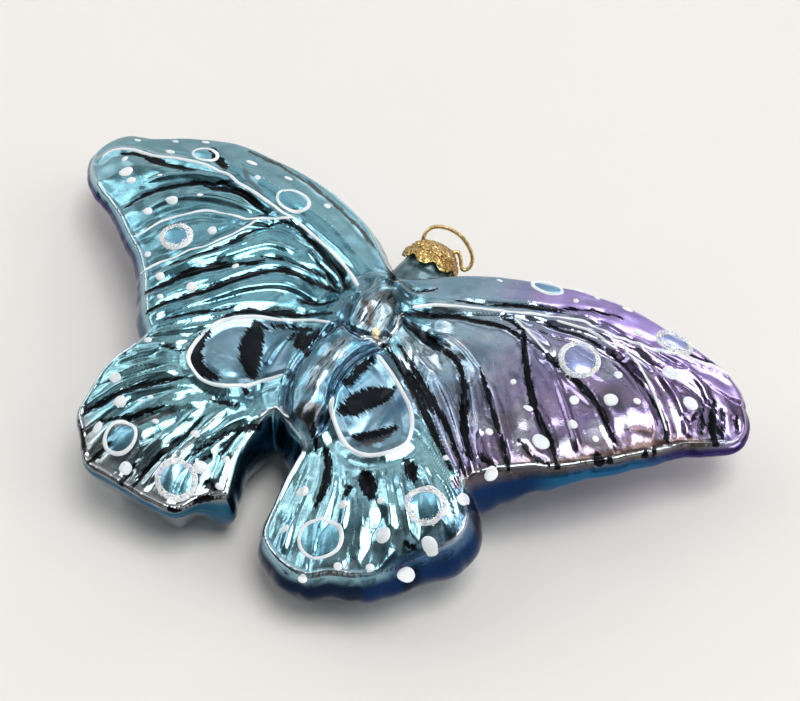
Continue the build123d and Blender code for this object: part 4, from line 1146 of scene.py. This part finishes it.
for cx, cy, r, amount in SMOKE:
    near = np.exp(-(((x - cx) ** 2 + (y - cy) ** 2) / r**2)) * (0.55 + 0.9 * lattice(x / 1.6 + 11, y / 1.6 + 5, 43))
    tint = blend_to(tint, (0.060, 0.050, 0.062), np.clip(near * amount, 0, 1) * fr)
satin = smooth((1.05 - v) / 0.35) * (~hind)
silver = left * hind * smooth((-25.0 - y) / 7.0) * (0.35 + 0.75 * lattice(x / 3.0 + 60, y / 3.0 + 60, 45))
tint = blend_to(tint, (0.430, 0.440, 0.430), np.clip(silver, 0, 1) * 0.8)
tint = blend_to(tint, (0.130, 0.095, 0.080), left * hind * smooth((2.2 - info["d"]) / 1.2) * smooth((-24.0 - y) / 4.0) * 0.7)
tint = blend_to(tint, (0.150, 0.110, 0.120), fr * smooth((5.5 - info["d"]) / 3.0) * smooth((19.0 - y) / 5) * smooth((x - 26) / 8) * (0.3 + 0.7 * lattice(x / 2.4 + 80, y / 2.4 + 80, 46)))
tint = blend_to(tint, (0.240, 0.455, 0.520), satin * left * 0.8)
tint = blend_to(tint, (0.250, 0.400, 0.520), satin * fr * smooth((20.0 - x) / 8.0) * 0.7)
tint = blend_to(tint, (0.360, 0.260, 0.580), satin * fr * smooth((x - 12.0) / 14.0) * 0.85)
inside = info["in_loop"]
tint = blend_to(tint, (0.170, 0.300, 0.400), inside * 0.85)
tint = blend_to(tint, (0.115, 0.330, 0.460), info["on_body"] * 0.85)
shade = smooth((0.55 - lattice(x / 2.0 + 9, y / 2.0 + 2, 44)) / 0.25)
tint = blend_to(tint, (0.190, 0.260, 0.300), info["on_body"] * shade * 0.4)
fur_a, fur_b = polygon_share(top_plan, FUR_THORAX, 1.4), polygon_share(top_plan, FUR_ABDOMEN, 1.4)
tint = blend_to(tint, (0.340, 0.390, 0.410), np.maximum(fur_a, fur_b) * 0.7)
tint = blend_to(tint, (0.075, 0.060, 0.055), polygon_share(top_plan, BROWN_PATCH, 1.2) * 0.9)
tint = blend_to(tint, (0.200, 0.450, 0.560), polygon_share(top_plan, END_FACET, 0.9) * 0.9)
tint = blend_to(tint, (0.045, 0.150, 0.215), np.exp(-(((x + 10.5) / 3.0) ** 2)) * smooth((y + 20) / 5) * smooth((8 - y) / 8) * 0.75)
# painted shade darkening the body creases
tint = blend_to(tint, (0.010, 0.055, 0.110), np.exp(-((info["crease_shade"] / 0.85) ** 2)) * 0.95)
# painted highlight along the raised folds
tint = blend_to(tint, (0.850, 0.900, 0.930), np.exp(-((info["fold_highlight"] / 0.30) ** 2)) * 0.95)
tint = blend_to(tint, (0.170, 0.470, 0.620), info["disc"] * (x < 29) * 0.75)
tint = blend_to(tint, (0.330, 0.400, 0.700), info["disc"] * (x >= 29) * 0.75)
tint = blend_to(tint, (0.020, 0.100, 0.230), smooth((x - 22.0) / 5.0) * smooth((-10.5 - y) / 3.0) * smooth((31.0 + y) / 4.0) * smooth((2.6 - info["d"]) / 2.2))
tint = blend_to(tint, (0.075, 0.045, 0.042), fr * smooth((2.0 - info["d"]) / 1.2) * smooth((20.0 - y) / 5) * smooth((x - 18) / 8) * 0.85)
# painted highlight: whitish line along the rim bead
tint = blend_to(tint, (0.780, 0.850, 0.900), info["bead_and_highlight"] * 0.75)
# painted highlight: a small golden glint in the waist crease
painted_glint = np.exp(-(((x - 3.6) / 0.55) ** 2) - (((y - 6.6) / 0.8) ** 2))
tint = blend_to(tint, (0.900, 0.640, 0.260), painted_glint)
fur = np.clip(np.maximum(fur_a, fur_b) * 1.0 + 0.05 * info["on_body"], 0, 1)
rag = 2.0 + 0.8 * info["in_loop"] + 1.0 * info["on_body"] + 0.8 * smooth((x - 52.0) / 3.0)
satin = np.maximum(np.maximum(satin, 0.8 * info["in_loop"]), np.maximum(0.7 * info["disc"], 0.25 * info["on_body"]))

flow = np.c_[v * 3.6, u * 45.0 + 60.0 * left, np.zeros(len(x))]
body = info["on_body"] > 0.5
flow[body] = np.c_[x[body] * 1.1 + 90, y[body], np.zeros(body.sum())]
inl = info["in_loop"] > 0.5
flow[inl] = np.c_[y[inl] * 1.2 + 0.3 * x[inl] + 150, x[inl] * 1.0, np.zeros(inl.sum())]

# side wall: the lacquer hue of each part darkened as painted shade, the dark reflection of the shaded table, darker in
# patches on the hindwings and lighter at the front; underside colours, darker towards the rim
sx, sy = rim[:, 0], rim[:, 1]
wall = np.tile(np.array([0.012, 0.070, 0.130]), (n_edge, 1))
wall = blend_to(wall, (0.002, 0.026, 0.100), smooth((sx - 1.0) / 4.0))
wall = blend_to(wall, (0.012, 0.105, 0.190), smooth((-1.0 - sx) / 4.0) * smooth((-8.0 - sy) / 3.0))
wall = blend_to(wall, (0.012, 0.110, 0.240), smooth((sx - 37.0) / 5.0) * smooth((60.0 - sx) / 8.0) * smooth((16.0 - sy) / 4.0) * smooth((sy + 11.0) / 4.0))
wall = blend_to(wall, (0.024, 0.016, 0.100), smooth((-34.0 - sx) / 6.0) * smooth((26.0 - sy) / 5.0))
wall = blend_to(wall, (0.045, 0.030, 0.140), smooth((sx - 50.0) / 8.0))
patchy = smooth((lattice(arc / 3.2, arc * 0, 25) - 0.42) / 0.3) * hind_part
wall = blend_to(wall, (0.001, 0.006, 0.020), patchy * smooth((sx - 1.0) / 4.0) * 0.8)
wall = blend_to(wall, (0.060, 0.210, 0.300), smooth((sy - 22.0) / 4.0) * smooth((40.0 - np.abs(sx)) / 8.0) * 0.8)

N_ALL = len(verts)
all_tint = np.zeros((N_ALL, 4))
all_tint[:, 3] = 1
all_ink, all_grey, all_brown = (np.full(N_ALL, 9.0) for _ in range(3))
all_satin, all_fur, all_rag, all_wall = np.zeros(N_ALL), np.zeros(N_ALL), np.full(N_ALL, 1.5), np.zeros(N_ALL)
all_flow = np.zeros((N_ALL, 3))
all_tint[:n_top, :3] = tint
all_ink[:n_top], all_grey[:n_top], all_brown[:n_top] = info["ink"], info["grey"], info["brown"]
all_satin[:n_top], all_fur[:n_top], all_flow[:n_top] = satin, fur, flow
all_rag[:n_top] = rag
rim_tint = tint[back]
for r in range(1, ROWS):
    i = side_start + (r - 1) * n_edge
    # down the upper part of the wall the top colour fades into the darkened wall colour (painted shade)
    f = float(smooth((r / ROWS) / 0.22))
    all_tint[i:i + n_edge, :3] = rim_tint * (1 - f) + wall * f
    all_wall[i:i + n_edge] = f
    all_flow[i:i + n_edge] = np.c_[arc + 200, side[r - 1][:, 2] * 1.0, np.zeros(n_edge)]
    all_ink[i:i + n_edge] = info["ink"][back] + 0.35 * r
lx, ly = low_plan[:, 0], low_plan[:, 1]
under = np.tile(np.array([0.070, 0.230, 0.330]), (len(lx), 1))
under = blend_to(under, (0.110, 0.100, 0.330), smooth((np.abs(lx) - 26.0) / 18.0))
under = blend_to(under, (0.020, 0.090, 0.170), smooth((2.5 - low_d) / 2.5) * 0.7)
all_tint[low_start:low_start + len(lx), :3] = under
all_flow[low_start:low_start + len(lx)] = np.c_[lv * 3.6 + 400, lu * 45.0, np.zeros(len(lx))]

# ---- assemble the shell ---------------------------------------------------
faces = top_tris.tolist() + quads.tolist() + (low_start + low_tris[:, ::-1]).tolist() + neck_quads.tolist()
mat_index = np.r_[np.zeros(len(top_tris) + len(quads) + len(low_tris), int), np.ones(len(neck_quads), int)]
shell = make_mesh("shell_skin", verts, faces, [glass, neck_glass], mat_index)
put(shell, "tint", "FLOAT_COLOR", all_tint)
put(shell, "flow", "FLOAT_VECTOR", all_flow)
for nm, val in (("ink", all_ink), ("grey", all_grey), ("brown", all_brown), ("satin", all_satin), ("fur", all_fur), ("rag", all_rag), ("wall", all_wall)):
    put(shell, nm, "FLOAT", val)
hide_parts("glass_shell")
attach(shell, "shell")


# ---- raised enamel --------------------------------------------------------
class Gather:
    """Collects plan points with a height above the glass, and faces."""

    def __init__(self):
        self.p, self.h, self.f, self.n = [], [], [], 0

    def grid(self, pts, lift, loop_a, loop_b):
        """pts[a][b] plan points; joined into quads, closed round where asked."""
        na, nb = pts.shape[:2]
        idx = self.n + np.arange(na * nb).reshape(na, nb)
        for i in range(na if loop_a else na - 1):
            for j in range(nb if loop_b else nb - 1):
                i2, j2 = (i + 1) % na, (j + 1) % nb
                self.f.append((int(idx[i, j]), int(idx[i2, j]), int(idx[i2, j2]), int(idx[i, j2])))
        self.p.append(pts.reshape(-1, 2))
        self.h.append(lift.reshape(-1))
        self.n += na * nb
        return idx

    def build(self, name, mat):
        P, h = np.vstack(self.p), np.concatenate(self.h)
        z = survey(P)["z"]
        ob = make_mesh(name, np.c_[P, z + h], self.f, [mat])
        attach(ob, "shell")
        return ob


NC = 9
phi = np.linspace(0, math.pi, NC)
lines = Gather()
for k, (w, pts) in enumerate(ENAMEL):
    c = curve(pts, 0.32)
    c = c + 0.05 * (np.c_[lattice(np.arange(len(c)) / 5.0, np.full(len(c), k * 3.1), 51), lattice(np.arange(len(c)) / 5.0, np.full(len(c), k * 3.1), 52)] - 0.5)
    t = np.gradient(c, axis=0)
    nrm = np.c_[-t[:, 1], t[:, 0]] / np.hypot(t[:, 0], t[:, 1])[:, None]
    m = len(c)
    share = np.linspace(0, 1, m)
    end = np.minimum(1, np.sqrt(np.minimum(share, 1 - share) * m * 0.32 / (0.9 * w) + 0.02))
    ww = 0.88 * w * end * (0.82 + 0.40 * lattice(np.arange(m) / 9.0, np.full(m, k * 1.7), 53))
    pts2 = c[:, None, :] + nrm[:, None, :] * (np.cos(phi)[None, :, None] * 0.5 * ww[:, None, None])
    lift = np.sin(phi)[None, :] * (0.24 * ww)[:, None] - 0.05
    lines.grid(pts2, lift, False, False)
lines.build("enamel_lines", enamel)

dots = Gather()
for k, (cx, cy, rx, ry) in enumerate(DOTS):
    m = 20
    a = np.linspace(0, 2 * math.pi, m, endpoint=False)
    rr = np.linspace(0.02, 1, 6)
    wob = 1 + 0.10 * (lattice(np.cos(a) * 1.6 + 5 + k, np.sin(a) * 1.6 + 5, 61) - 0.5)
    px = cx + rx * 0.92 * rr[:, None] * (wob * np.cos(a))[None, :]
    py = cy + ry * 0.92 * rr[:, None] * (wob * np.sin(a))[None, :]
    top = 0.13 + 0.12 * min(rx, ry)
    lift = np.repeat((top * np.sqrt(np.maximum(0, 1 - rr**2.2)) - 0.05)[:, None], m, 1)
    dots.grid(np.stack([px, py], -1), lift, False, True)
dots.build("enamel_dots", enamel)

rings = Gather()
grains = Gather()
octa = np.array([(1, 0, 0), (0, 1, 0), (-1, 0, 0), (0, -1, 0), (0, 0, 1), (0, 0, -1)], float)
octa_f = [(0, 1, 4), (1, 2, 4), (2, 3, 4), (3, 0, 4), (1, 0, 5), (2, 1, 5), (3, 2, 5), (0, 3, 5)]
grain_p, grain_h, grain_s, grain_f = [], [], [], []
for k, (cx, cy, rx, ry, sparkle) in enumerate(RINGS):
    m = 72
    a = np.linspace(0, 2 * math.pi, m, endpoint=False)
    wob = 1 + 0.07 * (lattice(np.cos(a) * 1.3 + 7 + k, np.sin(a) * 1.3 + 7, 62) - 0.5)
    w = (0.62 if not sparkle else 1.0) * (0.8 + 0.5 * lattice(np.cos(a) * 1.5 + 3, np.sin(a) * 1.5 + 3 + k, 63))
    lat = np.cos(phi)[None, :] * 0.5 * w[:, None]
    px = cx + (rx * wob)[:, None] * np.cos(a)[:, None] + lat * np.cos(a)[:, None]
    py = cy + (ry * wob)[:, None] * np.sin(a)[:, None] + lat * np.sin(a)[:, None]
    lift = np.sin(phi)[None, :] * 0.26 * w[:, None] * (0.7 if sparkle else 1.0) - 0.05
    rings.grid(np.stack([px, py], -1), lift, True, False)
    if sparkle:
        for _ in range(430):
            b = rng.uniform(0, 2 * math.pi)
            off = rng.normal(0, 0.30)
            sz = rng.uniform(0.07, 0.17)
            grain_p.append((cx + (rx + off) * math.cos(b), cy + (ry + off) * math.sin(b)))
            grain_h.append(0.20 - 0.12 * min(1, abs(off) / 0.5) + rng.uniform(-0.04, 0.06))
            grain_s.append(sz)
rings.build("enamel_rings", enamel)
gp = np.array(grain_p)
gz = survey(gp)["z"] + np.array(grain_h)
gv, gf = [], []
for i in range(len(gp)):
    R = Matrix.Rotation(rng.uniform(0, 6.28), 3, "X") @ Matrix.Rotation(rng.uniform(0, 6.28), 3, "Z")
    pts = (np.array(R) @ octa.T).T * grain_s[i] * np.array([1, 1, 0.7])
    gf += [tuple(i * 6 + j for j in t) for t in octa_f]
    gv.append(pts + np.array([gp[i, 0], gp[i, 1], gz[i]]))
grain_ob = make_mesh("glitter_grains", np.vstack(gv), gf, [glitter], sharp=True)
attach(grain_ob, "shell")

# ---- stamped crown cap ----------------------------------------------------
NT, NP = 288, 90
th = np.linspace(0, 2 * math.pi, NT, endpoint=False)
outer = curve([(5.30, -0.9), (5.15, 0.2), (4.75, 1.1), (4.25, 1.8), (3.66, 2.45), (2.90, 3.08), (1.50, 3.62), (0.04, 3.80)], 0.07)
seg = np.r_[0, np.cumsum(np.hypot(*np.diff(outer, axis=0).T))]
want = np.linspace(0, seg[-1], NP)
prof = np.c_[np.interp(want, seg, outer[:, 0]), np.interp(want, seg, outer[:, 1])]
pt = np.gradient(prof, axis=0)
pn = np.c_[pt[:, 1], -pt[:, 0]] / np.hypot(pt[:, 0], pt[:, 1])[:, None]
T, Sx = np.meshgrid(th, np.arange(NP))
R0, Y0 = prof[:, 0][Sx], prof[:, 1][Sx]
lobe = 0.5 + 0.5 * np.cos(8 * T)
to_rim = smooth((1.3 - Y0) / 2.0)
cut = 0.95 * (1 - lobe) ** 1.8
Y1 = Y0 + cut * np.clip(1 - want[Sx] / 2.2, 0, 1)
emb = 0.16 * to_rim * (lobe - 0.4)
emb += 0.15 * np.exp(-(((Y0 - 1.78) / 0.16) ** 2)) - 0.13 * np.exp(-(((Y0 - 1.36) / 0.14) ** 2))
emb += 0.14 * np.exp(-(((Y0 - 2.20) / 0.20) ** 2)) * np.cos(24 * T)
petal = np.exp(-(((R0 - 2.7) / 0.9) ** 2)) * smooth((Y0 - 2.5) / 0.3)
emb += 0.13 * petal * np.cos(8 * T + 0.4)
emb += 0.09 * np.cos(12 * T) * np.exp(-(((R0 - 1.2) / 0.5) ** 2))
emb += 0.10 * (lattice(T * R0 / 0.42 + 40, Y0 / 0.42 + 40, 71) - 0.5) * smooth(R0 / 1.0)
emb += 0.07 * (lattice(T * R0 / 0.2 + 90, Y0 / 0.2 + 90, 72) - 0.5) * smooth(R0 / 1.0)
box_s = np.abs(((T * 8 / (2 * math.pi)) % 1.0) - 0.5) * 2 * math.pi / 8 * R0
window = np.maximum(np.abs(Y0 - 0.60) - 0.40, np.abs(((T * 8 / (2 * math.pi) + 0.5) % 1.0) - 0.5) * 2 * math.pi / 8 * R0 - 0.55)
emb -= 0.15 * smooth((0.10 - window) / 0.16)
for sgn in (-1, 1):
    hx, hz = sgn * 2.9 * math.cos(LOOP_TURN), -sgn * 2.9 * math.sin(LOOP_TURN)
    dd = np.hypot(R0 * np.cos(T) - hx, R0 * np.sin(T) - hz)
    emb += np.where(Y0 > 2.3, 0.13 * np.exp(-(((dd - 0.75) / 0.22) ** 2)) - 0.25 * np.exp(-((dd / 0.45) ** 2)), 0)
RR = R0 + pn[:, 0][Sx] * emb
YY = Y1 + pn[:, 1][Sx] * emb
cap_pts = [neck_frame((RR * np.cos(T)).ravel(), YY.ravel(), (RR * np.sin(T)).ravel())]
RI, YI = np.maximum(0.02, RR - 0.30 * pn[:, 0][Sx]), YY - 0.30 * pn[:, 1][Sx]
YI = np.where(Sx == 0, YY, YI)
cap_pts.append(neck_frame((RI * np.cos(T)).ravel(), YI.ravel(), (RI * np.sin(T)).ravel()))
ids = np.arange(NP * NT).reshape(NP, NT)
cf = []
for i in range(NP - 1):
    a, b = ids[i], ids[i + 1]
    cf.append(np.c_[a, b, np.roll(b, -1), np.roll(a, -1)])
    a, b = a + NP * NT, b + NP * NT
    cf.append(np.c_[a, np.roll(a, -1), np.roll(b, -1), b])
a, b = ids[0], ids[0] + NP * NT
cf.append(np.c_[a, np.roll(a, -1), np.roll(b, -1), b])
cap_faces = np.vstack(cf).tolist()
cap_faces.append(ids[-1][::-1].tolist())
cap_faces.append((ids[-1] + NP * NT).tolist())
cap_ob = make_mesh("cap_crown", np.vstack(cap_pts), cap_faces, [gilt_cap])
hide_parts("cap")
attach(cap_ob, "cap")

# ---- wire hanger: the CAD node itself in its own metal --------------------
wire_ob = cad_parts["hanger"]
for i in range(max(1, len(wire_ob.material_slots))):
    if len(wire_ob.material_slots) == 0:
        wire_ob.data.materials.append(gilt_wire)
    else:
        wire_ob.material_slots[i].link = "OBJECT"
        wire_ob.material_slots[i].material = gilt_wire

# ---- table ----------------------------------------------------------------
floor_mat, N, B = material("pale_table")
obj = N.add("ShaderNodeTexCoord").outputs["Object"]
a = N.noise(obj, 14.0, 3.0)
b = N.noise(obj, 900.0, 2.0)
c = N.mix(a, (0.790, 0.780, 0.765, 1), (0.820, 0.808, 0.790, 1))
c = N.mix(N.math("MULTIPLY", b, 0.08), c, (0.70, 0.69, 0.68, 1))
tie(N, c, B.inputs["Base Color"])
B.inputs["Roughness"].default_value = 0.6
B.inputs["Specular IOR Level"].default_value = 0.25
fm = bpy.data.meshes.new("table_top")
fm.from_pydata([(-3, -3, -0.00003), (3, -3, -0.00003), (3, 3, -0.00003), (-3, 3, -0.00003)], [], [(0, 1, 2, 3)])
fm.materials.append(floor_mat)
floor = bpy.data.objects.new("table_top", fm)
bpy.context.scene.collection.objects.link(floor)

# ---- light ----------------------------------------------------------------
world = bpy.data.worlds.new("room")
bpy.context.scene.world = world
world.use_nodes = True
N = Nodes(world.node_tree)
gen = N.add("ShaderNodeTexCoord").outputs["Generated"]


def lobe_light(direction, a, b, amount):
    v = Vector(direction).normalized()
    d = N.add("ShaderNodeVectorMath", {0: gen, 1: tuple(v)}, operation="DOT_PRODUCT").outputs["Value"]
    return N.span(d, math.cos(math.radians(a)), math.cos(math.radians(b)), 0.0, amount)


total = N.math("ADD", 0.13, lobe_light((-0.35, 0.75, 0.60), 62, 22, 0.80))
for direction, a, b, amount in LAMPS:
    total = N.math("ADD", total, lobe_light(direction, a, b, amount))
patch = N.span(N.noise(gen, 3.4, 2.5), 0.38, 0.62, 0.35, 1.40)
total = N.math("MULTIPLY", total, patch)
bg = N.add("ShaderNodeBackground", {"Color": (1.0, 0.985, 0.965, 1), "Strength": N.math("MULTIPLY", total, WORLD)})
N.add("ShaderNodeOutputWorld", {"Surface": bg.outputs[0]})


def area(name, at, aim, size, watts, color=(1, 1, 1)):
    L = bpy.data.lights.new(name, "AREA")
    L.shape = "RECTANGLE"
    L.size, L.size_y = size
    L.energy = watts
    L.color = color
    o = bpy.data.objects.new(name, L)
    o.location = at
    o.rotation_mode = "QUATERNION"
    o.rotation_quaternion = (Vector(aim) - Vector(at)).to_track_quat("-Z", "Y")
    bpy.context.scene.collection.objects.link(o)
    return o


for args in AREAS:
    area(*args)

# ---- camera ---------------------------------------------------------------
cam_data = bpy.data.cameras.new("camera")
cam_data.lens = 86.84
cam_data.sensor_width = 36.0
cam_data.sensor_fit = "HORIZONTAL"
cam_data.clip_start, cam_data.clip_end = 0.01, 20.0
cam = bpy.data.objects.new("camera", cam_data)
bpy.context.scene.collection.objects.link(cam)
eye = Vector(((102.59 + SX) / 1000, (-161.72 + SY) / 1000, 0.27566))
aim = Vector(((7.27 + SX) / 1000, (8.14 + SY) / 1000, 0.0155))
look = (aim - eye).normalized()
side_v = look.cross(Vector((0, 0, 1))).normalized()
up_v = side_v.cross(look)
M = Matrix((side_v, up_v, -look)).transposed().to_4x4()
M.translation = eye
cam.matrix_world = M
scene = bpy.context.scene
scene.camera = cam
scene.view_settings.view_transform = "Standard"
scene.view_settings.look = "None"
scene.view_settings.exposure = 0.0
scene.view_settings.gamma = 1.0
